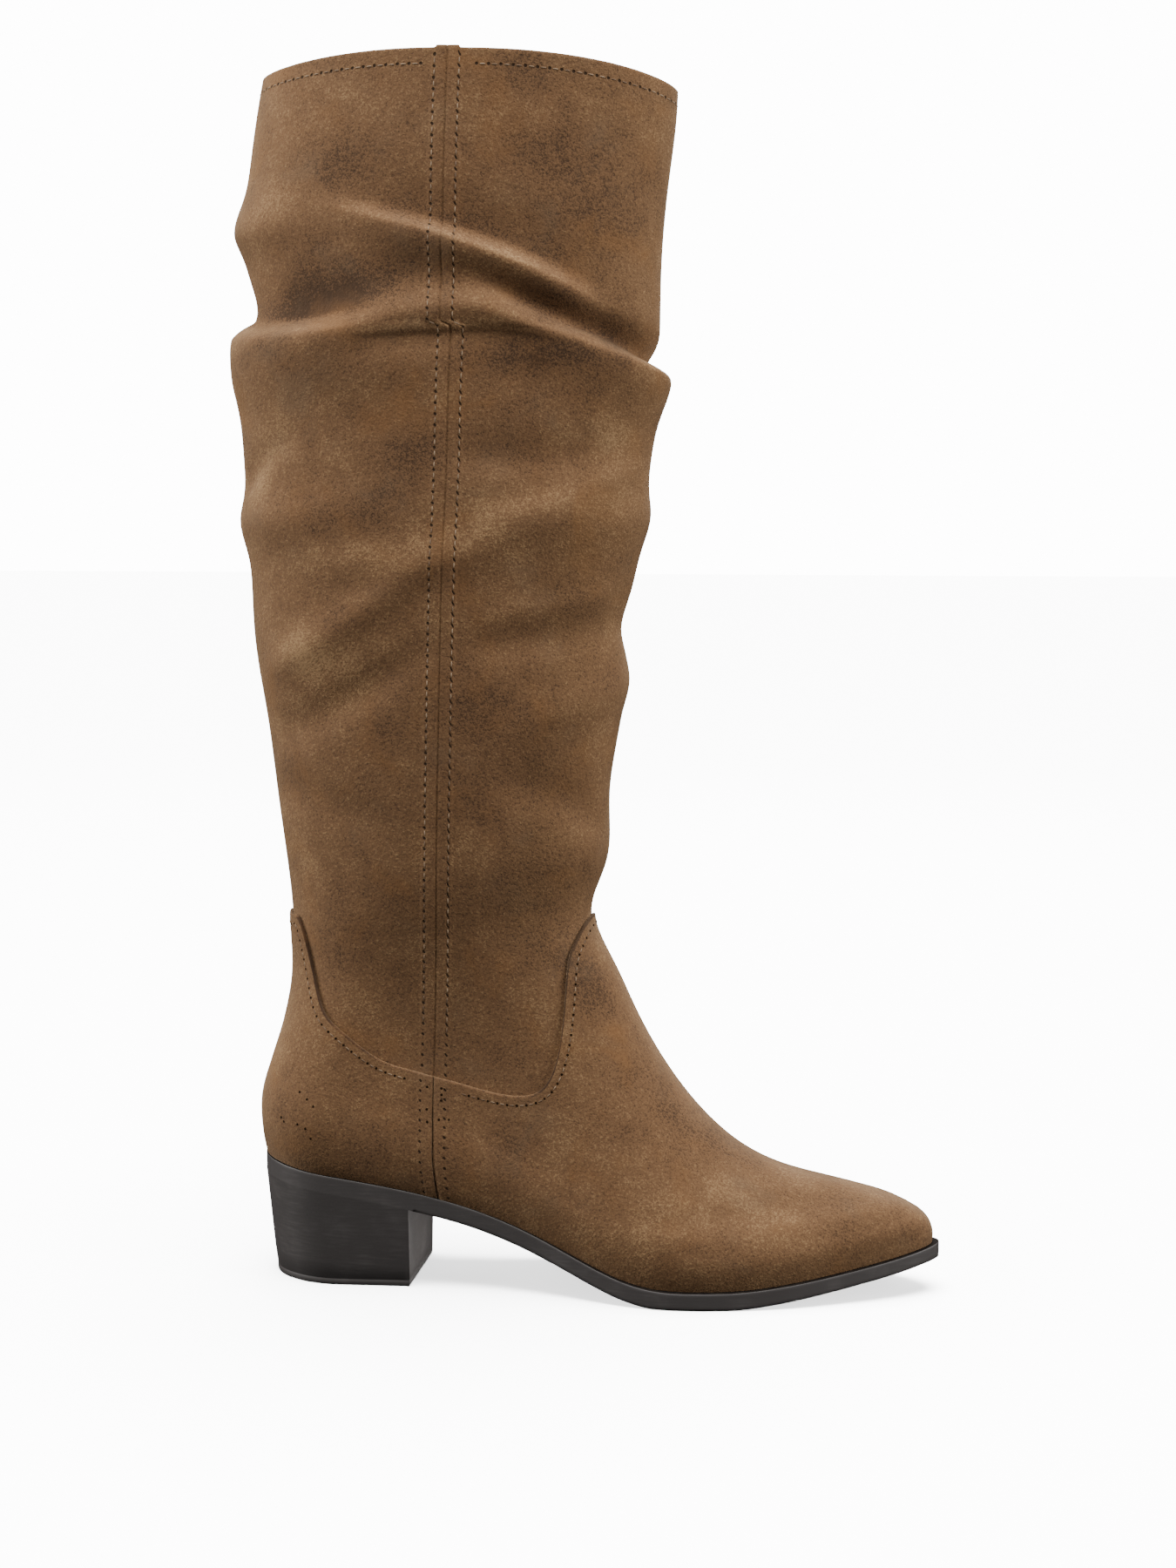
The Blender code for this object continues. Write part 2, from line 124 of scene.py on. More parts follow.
camera_data = bpy.data.cameras.new("camera")
camera_data.lens = CAMERA_LENS
camera_data.sensor_width = 36.0
camera = bpy.data.objects.new("camera", camera_data)
bpy.context.collection.objects.link(camera)
camera.location = CAMERA_PLACE
ahead = Vector((-math.sin(CAMERA_TURN) * math.cos(CAMERA_DOWN),
                math.cos(CAMERA_TURN) * math.cos(CAMERA_DOWN),
                -math.sin(CAMERA_DOWN)))
camera.rotation_euler = ahead.to_track_quat("-Z", "Y").to_euler()
bpy.context.scene.camera = camera


# Outsole: one moulded sole in charcoal brown, rounded a little along its lower edge, with an
# arch, a toe spring and a flat under the ball. Its rim stands out past the upper at the front, and its
# top rim is painted dark as shade under the upper.
HEEL_CENTRE_X = 34.0
SOLE_BACK_X = 0.9
SOLE_TIP_X = 270.0
HEEL_ROUND = 30.0
TOE_REACH = 60.0
SOLE_COLUMNS = 300
SOLE_EDGE_START = 66.0
SOLE_EDGE_FULL = 90.0
SOLE_EDGE_RISE = 1.0
SOLE_COLOUR = (0.080, 0.072, 0.069)
SOLE_SCUFF = (0.112, 0.101, 0.097)
TREAD_FROM = 146.0
TREAD_TO = 248.0
TREAD_PITCH = 5.0
TREAD_DEPTH = 0.5
TREAD_SHARE = 0.86
TREAD_FADE = 3.0
PAINTED_SHADE_TOP_ROWS = 4


def table(names, rows):
    """A table with named columns, a row for each section, fold or patch."""
    return np.array(rows, dtype=[(name, float) for name in names.split()])


SOLE = table("x top thick lateral medial", [
    (0, 48.6, 7, 28, 28),
    (34, 43.9, 7, 29, 28.5),
    (64, 38.7, 7.3, 27.6, 26),
    (90, 32.3, 7.5, 27.8, 24.8),
    (112, 24.6, 7.4, 30.8, 26),
    (132, 16.1, 7.3, 36, 29.3),
    (150, 9.5, 7.4, 41.2, 33.2),
    (164, 7.1, 7.3, 43.8, 35.8),
    (178, 6.8, 7.1, 43.8, 37.6),
    (193, 7, 7, 41.3, 38.4),
    (212, 8.8, 6.6, 36.2, 36.8),
    (238, 12.8, 6.1, 28.4, 31),
    (258, 16.6, 5.9, 24, 26),
    (270, 19.3, 5.8, 21.5, 23.5),
])


def smooth(places, values, at):
    """Natural cubic spline through the rows of a table."""
    steps = np.diff(places)
    slopes = np.diff(values) / steps
    count = len(places)
    matrix = np.eye(count)
    turn = np.zeros(count)
    for row in range(1, count - 1):
        before, after = steps[row - 1], steps[row]
        matrix[row, row - 1:row + 2] = before, 2 * (before + after), after
        turn[row] = 6 * (slopes[row] - slopes[row - 1])
    bend = np.linalg.solve(matrix, turn)
    at = np.clip(at, places[0], places[-1])
    left = np.clip(np.searchsorted(places, at, side="right") - 1, 0, count - 2)
    step = steps[left]
    t = at - places[left]
    cubic = (bend[left + 1] - bend[left]) / (6 * step)
    linear = slopes[left] - step * (2 * bend[left] + bend[left + 1]) / 6
    return values[left] + t * (linear + t * (bend[left] / 2 + t * cubic))


def ease(t):
    """0 to 1 with level ends."""
    t = np.clip(t, 0.0, 1.0)
    return t * t * (3 - 2 * t)


def bump(off, width):
    """Soft bump, 1 in the middle."""
    return np.exp(-(off / width) ** 2)


def quarter_round(distance, reach):
    """Quarter of an ellipse: 0 at an end, 1 from reach onward."""
    away = 1 - np.clip(distance / reach, 0.0, 1.0)
    return np.sqrt(1 - away * away)


def sole_top(x):
    return smooth(SOLE["x"], SOLE["top"], x)


def sole_bottom(x):
    return np.maximum(sole_top(x) - smooth(SOLE["x"], SOLE["thick"], x), 0.0)


def plan_width(x, medial):
    """Half width of the sole before its ends are rounded."""
    wide_medial = smooth(SOLE["x"], SOLE["medial"], x)
    wide_lateral = smooth(SOLE["x"], SOLE["lateral"], x)
    return np.where(medial, wide_medial, wide_lateral)


def outline(back, tip, tuck, columns, squared_tip=False):
    """Edge of the sole from its back, by the lateral side and the tip, to its back again, and
    the outward direction at each point."""
    t = np.arange(columns + 1) / columns
    if squared_tip:
        x = back + (tip - back) * (1 - np.cos(np.pi / 2 * t))
    else:
        x = back + (tip - back) * (1 - np.cos(np.pi * t)) / 2
    ends = quarter_round(x - back, HEEL_ROUND)
    if not squared_tip:
        ends = ends * quarter_round(tip - x, TOE_REACH)
    lateral = -(plan_width(x, False) - tuck) * ends
    medial = (plan_width(x, True) - tuck) * ends
    way_back = slice(0 if squared_tip else 1, -1)
    edge_x = np.concatenate([x, x[::-1][way_back]])
    edge_y = np.concatenate([lateral, medial[::-1][way_back]])
    along_x = np.roll(edge_x, -1) - np.roll(edge_x, 1)
    along_y = np.roll(edge_y, -1) - np.roll(edge_y, 1)
    length = np.hypot(along_x, along_y)
    return edge_x, edge_y, along_y / length, -along_x / length


def flat_sheet(columns, rows):
    """Sheet of quads, with the column and row of each corner."""
    bm = bmesh.new()
    bmesh.ops.create_grid(bm, x_segments=columns, y_segments=rows, size=0.5)
    bm.verts.ensure_lookup_table()
    places = np.array([vert.co for vert in bm.verts])
    column = np.rint((places[:, 0] + 0.5) * columns).astype(int)
    row = np.rint((places[:, 1] + 0.5) * rows).astype(int)
    return bm, column, row


def lay(bm, points):
    """Puts every corner of a sheet at its place, given in millimetres from the heel's back."""
    for vert, point in zip(bm.verts, points):
        vert.co = ((point[0] - HEEL_CENTRE_X) * MM, point[1] * MM, point[2] * MM)


def close(bm):
    """Joins the edges of a sheet that meet and turns its faces outward."""
    bmesh.ops.remove_doubles(bm, verts=bm.verts, dist=0.000005)
    bmesh.ops.dissolve_degenerate(bm, edges=bm.edges, dist=0.000004)
    bmesh.ops.recalc_face_normals(bm, faces=bm.faces)


def piece(bm, name, materials, nodes=(), sharp=60):
    """Finishes a piece: smooth shading, materials and the nodes it stands for."""
    thing = add_object(bm, name, materials)
    thing.data.shade_smooth()
    thing.data.set_sharp_from_angle(angle=math.radians(sharp))
    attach(thing, "root")
    if nodes:
        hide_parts(*nodes)
    return thing


class Shade:
    """A value in a material. Sums and products of it add the nodes that work them out."""

    def __init__(self, tree, socket=None):
        self.tree = tree
        self.socket = socket

    def add(self, kind, settings, values, output=0):
        """Adds a node with its settings and inputs and gives one of its outputs."""
        node = self.tree.nodes.new(kind)
        for name, value in settings.items():
            setattr(node, name, value)
        for name, value in values.items():
            if isinstance(value, Shade):
                self.tree.links.new(value.socket, node.inputs[name])
            else:
                node.inputs[name].default_value = value
        return Shade(self.tree, node.outputs[output])

    def math(self, operation, *values):
        return self.add("ShaderNodeMath", {"operation": operation}, dict(enumerate(values)))

    def __add__(self, other):
        return self.math("ADD", self, other)

    def __radd__(self, other):
        return self.math("ADD", other, self)

    def __sub__(self, other):
        return self.math("SUBTRACT", self, other)

    def __rsub__(self, other):
        return self.math("SUBTRACT", other, self)

    def __mul__(self, other):
        return self.math("MULTIPLY", self, other)

    def noise(self, scale, detail=3.0, roughness=0.55, distortion=0.0):
        """Noise read at this place."""
        return self.add("ShaderNodeTexNoise", {"noise_dimensions": "3D"}, {
            "Vector": self, "Scale": scale, "Detail": detail, "Roughness": roughness,
            "Distortion": distortion})

    def between(self, low, high):
        """0 below low, 1 above high, and a soft change between them."""
        return self.add("ShaderNodeMapRange", {"interpolation_type": "SMOOTHSTEP"}, {
            "Value": self, "From Min": low, "From Max": high})

    def blend(self, first, second):
        """From the first colour to the second by this share."""
        ends = [end if isinstance(end, Shade) else (*end, 1.0) for end in (first, second)]
        return self.add("ShaderNodeMix", {"data_type": "RGBA"}, {0: self, 6: ends[0], 7: ends[1]}, 2)

    def feed(self, shader, name):
        self.tree.links.new(self.socket, shader.inputs[name])

    def relief(self, shader, distance, strength):
        """Makes this value the height of the surface's fine relief."""
        heights = {"Height": self, "Distance": distance, "Strength": strength}
        self.add("ShaderNodeBump", {}, heights).feed(shader, "Normal")


def start_material(name, shine=0.5):
    """A new material, the place on the piece that its noise is read at, and its shader."""
    material = bpy.data.materials.new(name)
    material.use_nodes = True
    place = Shade(material.node_tree).add("ShaderNodeTexCoord", {}, {}, "Object")
    shader = material.node_tree.nodes["Principled BSDF"]
    shader.inputs["Specular IOR Level"].default_value = shine
    return material, place, shader


sole_paint, place, shader = start_material("charcoal sole", 0.45)
long_place = place.add("ShaderNodeMapping", {}, {"Vector": place, "Scale": (0.25, 0.25, 3.0)})
cloudy = place.noise(70.0, 3.0)
brushed = long_place.noise(420.0, 2.0)
fine = place.noise(1800.0, 2.0)
scuffed = (cloudy * 0.7 + brushed * 0.5).between(0.55, 0.95)
scuffed.blend(SOLE_COLOUR, SOLE_SCUFF).feed(shader, "Base Color")
(0.36 + cloudy * 0.14 + brushed * 0.1).feed(shader, "Roughness")
height = brushed * 0.5 + fine * 0.5
height.relief(shader, 0.00008, 0.6)

# Painted shade: the sole's top rim under the upper is painted nearly black, as the shade where the
# upper meets the sole
sole_rim_painted_shade, place, shader = start_material("sole rim painted shade", 0.08)
rim_shade_mottle = place.noise(160.0, 3.0)
rim_shade_mottle.between(0.4, 0.7).blend((0.012, 0.009, 0.008), (0.024, 0.019, 0.016)).feed(shader, "Base Color")
shader.inputs["Roughness"].default_value = 0.9

edge_x, edge_y, out_x, out_y = outline(SOLE_BACK_X, SOLE_TIP_X, 0.0, SOLE_COLUMNS)
# From the middle of the underside to the middle of the top: share of the half width kept, how far
# inside the edge, and how far above the bottom (first half) or below the top (second half).
SOLE_ROWS = table("share inset from_top lift", [
    (0, 0, 0, 0), (0.4, 0, 0, 0), (0.86, 0, 0, 0), (0.88, 0, 0, 0),
    (1, 1.2, 0, 0), (1, 0.75, 0, 0.08), (1, 0.38, 0, 0.3), (1, 0.12, 0, 0.65),
    (1, 0, 0, 1.2), (1, 0, 0, 1.9), (1, 0, 1, 1.1), (1, 0, 1, 0.4),
    (1, 0.07, 1, 0.18), (1, 0.22, 1, 0.04), (1, 0.5, 1, 0), (0.7, 1, 1, 0),
    (0, 0, 1, 0),
])
bm, column, row = flat_sheet(len(edge_x), len(SOLE_ROWS) - 1)
column = np.mod(column, len(edge_x))
profile = SOLE_ROWS[row]
rounded = ease((edge_x[column] - SOLE_EDGE_START) / (SOLE_EDGE_FULL - SOLE_EDGE_START))
rounded = np.where(profile["from_top"] > 0.5, 1.0, rounded)
inset = profile["inset"] * rounded
x = edge_x[column] - out_x[column] * inset
y = (edge_y[column] - out_y[column] * inset) * profile["share"]
tread = ease((x - TREAD_FROM) / TREAD_FADE) * ease((TREAD_TO - x) / TREAD_FADE)
tread = tread * ease(1.4 * np.cos(2 * np.pi * x / TREAD_PITCH) - 0.2)
tread = tread * ((profile["share"] <= TREAD_SHARE) & (profile["from_top"] < 0.5))
held = np.where(profile["lift"] > SOLE_EDGE_RISE, 1.0, rounded)
lift = profile["lift"] * held + TREAD_DEPTH * tread
z = np.where(profile["from_top"] > 0.5, sole_top(x) - lift, sole_bottom(x) + lift)
lay(bm, np.stack([x, y, z], axis=-1))
# The top rows take the painted shade material
for face in bm.faces:
    if min(row[vert.index] for vert in face.verts) >= len(SOLE_ROWS) - PAINTED_SHADE_TOP_ROWS:
        face.material_index = 1
close(bm)
outsole = piece(bm, "outsole", [sole_paint, sole_rim_painted_shade], ["outsole"])
sole_group.objects.link(outsole)


# Heel: one D-shaped block of the same charcoal, flush with the sole above it so that no joint
# shows, a little narrower at the floor, where a thin wearing piece closes it.
HEEL_BREAST_X = 63.5
HEEL_BACK_TREAD_X = 4.9
HEEL_TAPER = 2.4
HEEL_COLUMNS = 60

seat_x, seat_y, seat_out_x, seat_out_y = outline(SOLE_BACK_X, HEEL_BREAST_X, 0.0, HEEL_COLUMNS, True)
foot_x, foot_y, foot_out_x, foot_out_y = outline(
    HEEL_BACK_TREAD_X, HEEL_BREAST_X, HEEL_TAPER, HEEL_COLUMNS, True)
HEEL_ROWS = table("share inset up rise", [
    (0, 0, 0, 0), (0.6, 0, 0, 0), (1, 0.8, 0, 0), (1, 0.3, 0, 0.12),
    (1, 0.05, 0, 0.6), (1, 0, 0, 2.3), (1, 0.12, 0, 2.5), (1, 0.12, 0, 2.65),
    (1, 0, 0, 2.85), (1, 0, 0.25, 0), (1, 0, 0.5, 0), (1, 0, 0.75, 0),
    (1, 0, 1, 0), (0.6, 0, 1, 0), (0, 0, 1, 0),
])
bm, column, row = flat_sheet(len(seat_x), len(HEEL_ROWS) - 1)
column = np.mod(column, len(seat_x))
profile = HEEL_ROWS[row]
up = profile["up"]
x = foot_x[column] * (1 - up) + seat_x[column] * up
y = foot_y[column] * (1 - up) + seat_y[column] * up
out = foot_out_x[column] * (1 - up) + seat_out_x[column] * up
x = x - out * profile["inset"]
y = (y - foot_out_y[column] * profile["inset"]) * profile["share"]
z = profile["rise"] + up * (sole_bottom(x) + 0.05)
lay(bm, np.stack([x, y, z], axis=-1))
close(bm)
heel = piece(bm, "heel", [sole_paint], ["heel"], sharp=40)
sole_group.objects.link(heel)


# Shaft: one hollow wall of brown suede from the sole to the collar, slouched in deep folds below
# the collar and softly creased lower down. Each side seam is pressed open into two low strips
# with a groove between them and a stitched row along each outer edge.
GAP = 0.3
SHEET = 1.2
WELT_BACK = 2.2
WELT_FORE = 4.2
WELT_START_X = 70.0
WELT_FULL_X = 150.0
SEAM_FOOT_X = 75.2
SEAM_LEAN = 0.0182
SEAM_FOOT_Z = 40.0
STRIP_HALF = 5.2
STRIP_RISE = 0.55
STRIP_GROOVE = 0.55
STRIP_GROOVE_HALF = 0.45
ROW_FROM_SEAM = 4.6
ROW_DIP = 0.3
ROW_DIP_HALF = 0.7
STRIP_EDGE = 1.2
STRIP_FADE = 1.6
STRIP_STATIONS = 0.07
STRIP_COLUMNS = 13
COLUMN_SPREAD = 1.05
SECTION_POWER = 1.7
ANKLE_STEEPNESS = 4.0
FRONT_BOW = 0.30
FRONT_BOW_POWER = 0.75

# Back and front point of each section, from the sole's edge to the collar. half is the shaft's
# half width, swell how much wider than the sole's edge the foot is, rise how much higher the
# section is at the side seams, and wander how far the side seams stray toward the toe.
SECTIONS = table("back_x back_z front_x front_z half swell rise wander", [
    (2.7, 48.9, 265.6, 19, 30, 0, 0, 0),
    (1.8, 53, 266, 23.2, 30, 1.4, 0, -0.6),
    (1, 58.6, 263.8, 28.4, 30, 2.4, 0, -1.3),
    (0.6, 64.7, 257.2, 32.8, 30, 3, 0, -1.8),
    (0.8, 71.2, 246, 36.9, 30, 3, 0, -2),
    (2.2, 77.8, 229, 41.2, 30, 2.6, 0, -2.1),
    (4.2, 84, 209, 45.8, 30, 2, 0, -2.3),
    (6.5, 91, 190, 54.8, 30, 1.4, 0, -2.4),
    (9.1, 99, 173.4, 69.8, 30, 0.8, 0, -2.4),
    (11.4, 108, 160, 87.6, 30.4, 0.4, 0, -2.2),
    (13.1, 117.5, 149.4, 106.4, 30.8, 0.2, 0, -2),
    (13.6, 127.5, 140.9, 124.6, 31.3, 0, 0, -1.7),
    (13, 139, 133.2, 141, 31.9, 0, 0, -1.4),
    (12.2, 152, 133.8, 155, 32.7, 0, 0, -1.1),
    (10, 171, 139.2, 172, 34, 0, 0, -0.8),
    (6.8, 196, 139.6, 196, 35.8, 0, 0, -0.5),
    (3.3, 224, 143.6, 223, 37.5, 0, 0, 0),
    (-1.2, 254, 145.8, 252, 39, 0, 0.2, 0.4),
    (-2.4, 286, 150, 283, 40.3, 0, 0.5, 1.2),
    (-4.4, 318, 154.2, 314, 41.2, 0, 1, 2.4),
    (-5.6, 348, 157.6, 343, 41.8, 0, 2, 3),
    (-5, 375, 158.8, 369, 42, 0, 3.2, 3.8),
    (-3.5, 402, 159.2, 395, 42.2, 0, 4.6, 3.9),
    (-1.4, 430, 161.2, 422, 42.4, 0, 6.2, 4.3),
    (2.2, 455, 164.4, 447.5, 42.5, 0, 7.6, 4.9),
    (4.8, 468.5, 165.4, 462.7, 42.5, 0, 8.6, 5.4),
])
TOE_FORM_LEVELS = (1.0, 4.5)
SHAFT_FORM_LEVELS = (8.0, 14.0)
STRAIGHT_LEVELS = (0.0, 13.0)
RIDGE_LEVELS = (1, 13)
COLLAR_LEVEL = len(SECTIONS) - 1.0
# Where the slouch pulls the seam back over the roll: the jump's level, softness and size
SEAM_JUMP_LEVEL = 20.93
SEAM_JUMP_SOFT = 0.08
SEAM_JUMP = -3.9

# Folds, each through four places around the shaft, given by station (0 back, 1 lateral seam,
# 2 front, 3 medial seam, 4 back) and height. It fades to nothing at its first and last place;
# depths are outward at the two between; above and below are its widths.
FOLDS = table("s1 z1 s2 z2 s3 z3 s4 z4 depth2 depth3 above below", [
    # back: the bulge under the collar, the hollow, the notch and the roll below it
    (-0.9, 414, -0.1, 411, 0.1, 411, 0.75, 414, 4.4, 4.4, 12, 9),
    (-0.9, 391, 0, 378.3, 0.5, 376.8, 0.9, 383.5, -5.8, -4.8, 17, 3.2),
    (-0.9, 354, 0, 357, 0.5, 360, 1.25, 364, 3.6, 3.2, 17, 14),
    (-0.5, 370.5, 0.15, 369.5, 0.6, 370.8, 0.95, 378.5, 1.8, 2.4, 2.6, 9),
    # front: the valley that runs into the notch, the lip under it and the shoulder over it
    (1.02, 396, 1.3, 380.8, 1.85, 363.2, 2.6, 351, -4.8, -7.2, 6.4, 3.4),
    (1, 384, 1.35, 370, 1.9, 355.8, 2.9, 350.5, 3.2, 5.2, 3.8, 14),
    (0.55, 421, 0.95, 408, 1.28, 394, 1.60, 376.5, 3.4, 3.6, 2.8, 11),
    (0.6, 427, 0.95, 414.5, 1.28, 401, 1.66, 382.5, -1.7, -1.8, 13, 3.6),
    # the roll across the side seam and the crease that closes it underneath
    (0.55, 377, 0.9, 379, 1.15, 380.5, 1.5, 369, 2.4, 2.4, 6, 7),
    (0.66, 367.5, 0.9, 369.6, 1.15, 370.3, 1.45, 364, -0.9, -0.8, 1.8, 6),
    (0.75, 393, 0.95, 393, 1.05, 392, 1.3, 388, -1.2, -1.2, 8, 6),
    # middle of the shaft
    (-0.9, 300, 0, 299, 0.3, 300, 1, 306, 3.4, 3, 10, 12),
    (0.1, 309, 0.25, 318, 0.4, 326, 0.6, 334, -1.6, -1.2, 7, 5),
    (0.9, 327, 1.2, 324, 1.5, 326, 1.9, 333, -1.6, -1.8, 10, 6),
    (1.05, 299, 1.3, 305, 1.6, 315, 1.95, 322, 1.5, 1.6, 5, 9),
    (0.4, 285, 0.75, 284, 1.1, 289, 1.3, 294, 1.2, 1.2, 8, 8),
    (0.1, 216, 0.45, 222, 0.75, 236, 1.1, 262, -1.7, -1.7, 8, 8),
    (0.15, 240, 0.45, 248, 0.75, 266, 1.1, 296, 1.8, 1.8, 8, 8),
    (0.95, 294, 1.5, 300, 2, 301, 2.8, 300, 2.4, 2.8, 10, 12),
    (0.95, 252, 1.4, 257, 1.9, 260, 2.8, 250, -2.2, -2.8, 12, 8),
    (1.05, 262, 1.3, 266, 1.6, 270, 1.85, 274, 1.2, 1.2, 5, 8),
    (1.1, 218, 1.6, 232, 2.1, 238, 2.9, 228, 2, 2.4, 9, 10),
    (0.05, 200, 0.35, 196, 0.6, 190, 0.95, 178, -1.2, -1, 8, 9),
    (1.15, 204, 1.4, 198, 1.65, 190, 2, 178, -1.3, -1.5, 9, 8),
    # medial side
    (3, 398, 3.4, 390, 3.8, 384, 4.3, 380, -3.2, -3.6, 9, 5),
    (2.3, 366, 2.7, 372, 3.1, 384, 3.6, 392, -3.4, -2.6, 10, 4),
    (2.3, 356, 2.7, 361, 3.1, 372, 3.6, 380, 2.6, 2.4, 5, 12),
    (2.5, 420, 2.9, 411, 3.2, 409, 3.6, 416, 2.2, 2.2, 5, 11),
    (2.2, 312, 2.7, 324, 3.2, 330, 3.8, 316, 2.4, 2.4, 11, 12),
    (2.4, 262, 2.9, 272, 3.3, 278, 3.9, 268, -2.4, -2.4, 10, 9),
    (2.5, 226, 2.8, 236, 3.2, 246, 3.6, 250, 1.6, 1.6, 9, 9),
])


# Painted highlight along the fold crests and painted shade in the creases and hollows, partly the nap's
# own wear there, laid out like the folds, with the tone in place of the depth.
FOLD_WEAR_AND_PAINTED_LIGHT = table("s1 z1 s2 z2 s3 z3 s4 z4 depth2 depth3 above below", [
    (0.5, 423.5, 0.95, 409.4, 1.28, 395.6, 1.66, 375.8, 0.5, 0.65, 0.9, 1.3),
    (0.7, 426, 0.95, 415, 1.28, 401.5, 1.6, 383.5, -0.55, -0.6, 5, 2.2),
    (1.1, 391.5, 1.3, 380.5, 1.6, 368.6, 2.2, 356, -0.15, -0.7, 4, 2.4),
    (1.02, 389, 1.3, 374.4, 1.75, 360.4, 2.3, 351, 0.4, 0.45, 0.9, 1.4),
    (-0.6, 378, 0.2, 373.4, 0.65, 374.8, 0.93, 384, 0.4, 0.5, 0.9, 1.5),
    (-0.6, 384, 0.2, 378.6, 0.65, 380.6, 0.9, 389.5, -1.1, -1.1, 7, 2),
    (0.6, 367, 0.85, 369.6, 1.2, 369.6, 1.5, 363, -0.25, -0.25, 1.4, 5.5),
    (0.6, 370, 0.85, 372.4, 1.2, 372.2, 1.5, 366, 0.45, 0.45, 2.4, 1),
    (2.5, 360, 2.8, 368, 3.2, 378, 3.6, 388, -0.9, -0.8, 5, 3),
])


def sole_gap(x):
    return sole_top(x) + GAP


def ridge_height(x):
    """Height of the instep and toe along the middle of the foot."""
    foot = SECTIONS[slice(*RIDGE_LEVELS)][::-1]
    last = foot[0]
    above = last["front_z"] + ANKLE_STEEPNESS * (last["front_x"] - x)
    return np.where(x < last["front_x"], above, smooth(foot["front_x"], foot["front_z"], x))


def climb_share(x, z):
    """Height above the sole as a share of the height of the foot's ridge there."""
    low = sole_top(x)
    return (z - low) / (ridge_height(x) - low)


def sag_of_sole(p):
    """How far the sole's edge hangs under the straight line from its back to its toe."""
    low = SECTIONS[0]
    x = low["back_x"] + p * (low["front_x"] - low["back_x"])
    line = low["back_z"] + p * (low["front_z"] - low["back_z"])
    return sole_gap(x) - line


def read_level(level):
    rows = np.arange(len(SECTIONS), dtype=float)
    return {name: smooth(rows, SECTIONS[name], level) for name in SECTIONS.dtype.names}


def change(level, levels):
    return ease((level - levels[0]) / (levels[1] - levels[0]))


def seam_x(level, row):
    middle = (row["back_z"] + row["front_z"]) / 2
    jump = SEAM_JUMP * ease((level - SEAM_JUMP_LEVEL) / SEAM_JUMP_SOFT)
    return SEAM_FOOT_X + SEAM_LEAN * (middle - SEAM_FOOT_Z) + row["wander"] + jump


def collar_bow(p):
    """Bow of the collar between its back and front: fuller toward the front."""
    bow = 4 * p * (1 - p)
    ahead = 2 * np.maximum(p - 0.5, 0.0)
    return np.where(ahead > 0, bow ** FRONT_BOW_POWER * (1 + FRONT_BOW * ahead), bow)


def plain_skin(station, level):
    """The boot's outer form without folds, and the distance from the nearer side seam."""
    station = np.mod(station, 4.0)
    medial = station > 2.0
    front = (station > 1.0) & (station < 3.0)
    from_seam = np.abs(np.where(medial, station - 3.0, station - 1.0))
    row = read_level(level)
    seam = seam_x(level, row)
    reach = np.where(front, row["front_x"] - seam, row["back_x"] - seam)
    x = seam + reach * np.sin(from_seam * np.pi / 2)
    p = np.clip((x - row["back_x"]) / (row["front_x"] - row["back_x"]), 0.0, 1.0)
    z = row["back_z"] + p * (row["front_z"] - row["back_z"])
    sag = 1 - change(level, STRAIGHT_LEVELS)
    z = z + row["rise"] * collar_bow(p) + sag * sag_of_sole(p)
    welt = WELT_BACK + (WELT_FORE - WELT_BACK) * ease((x - WELT_START_X) / (WELT_FULL_X - WELT_START_X))
    width = plan_width(x, medial) - welt + row["swell"]
    climb = climb_share(x, z) / climb_share(row["front_x"], row["front_z"])
    across = np.sqrt(1 - np.clip(climb, 0.0, 1.0) ** SECTION_POWER)
    plan = quarter_round(row["front_x"] - x, TOE_REACH)
    foot = width * quarter_round(x - row["back_x"], HEEL_ROUND)
    toe_form = change(level, TOE_FORM_LEVELS)
    foot = foot * across ** toe_form * plan ** (1 - toe_form)
    shaft = 2 * row["half"] * np.sqrt(p * (1 - p))
    shaft_form = change(level, SHAFT_FORM_LEVELS)
    y = foot ** (1 - shaft_form) * shaft ** shaft_form
    return np.stack([x, np.where(medial, y, -y), z], axis=-1), x - seam


def fold_height(station, z, folds=FOLDS):
    """Sum of the folds, or of the lines of painted fold shade and highlight, at a station and height.
    """
    total = np.zeros(np.broadcast(station, z).shape)
    for fold in folds:
        stations, heights = np.array([[fold[kind + place] for place in "1234"] for kind in "sz"])
        for turn in (-4.0, 0.0, 4.0):
            at = np.mod(station, 4.0) + turn
            rising = fold["depth2"] * ease((at - stations[0]) / (stations[1] - stations[0]))
            falling = fold["depth3"] * ease((stations[3] - at) / (stations[3] - stations[2]))
            share = ease((at - stations[1]) / (stations[2] - stations[1]))
            depth = rising * (1 - share) + falling * share
            off = z - smooth(stations, heights, at)
            total = total + depth * bump(off, np.where(off > 0, fold["above"], fold["below"]))
    return total


def seam_relief(off):
    """The pressed-open seam: two low strips, the groove between them, a dip along each row."""
    far = np.abs(off)
    strip = STRIP_RISE * ease((STRIP_HALF + STRIP_EDGE - far) / STRIP_FADE)
    groove = STRIP_GROOVE * bump(far, STRIP_GROOVE_HALF)
    dip = ROW_DIP * bump(far - ROW_FROM_SEAM, ROW_DIP_HALF)
    return strip - groove - dip


def outward(station, level):
    """Level direction straight out of the boot."""
    along = plain_skin(station + 0.004, level)[0] - plain_skin(station - 0.004, level)[0]
    out = np.stack([along[..., 1], -along[..., 0], np.zeros_like(along[..., 0])], axis=-1)
    return out / np.linalg.norm(out, axis=-1, keepdims=True)


def skin(station, level, extra=0.0):
    """Outer face with folds and seam relief, moved straight out by extra millimetres."""
    point, off = plain_skin(station, level)
    lift = fold_height(station, point[..., 2]) + seam_relief(off) + extra
    return point + outward(station, level) * lift[..., None]


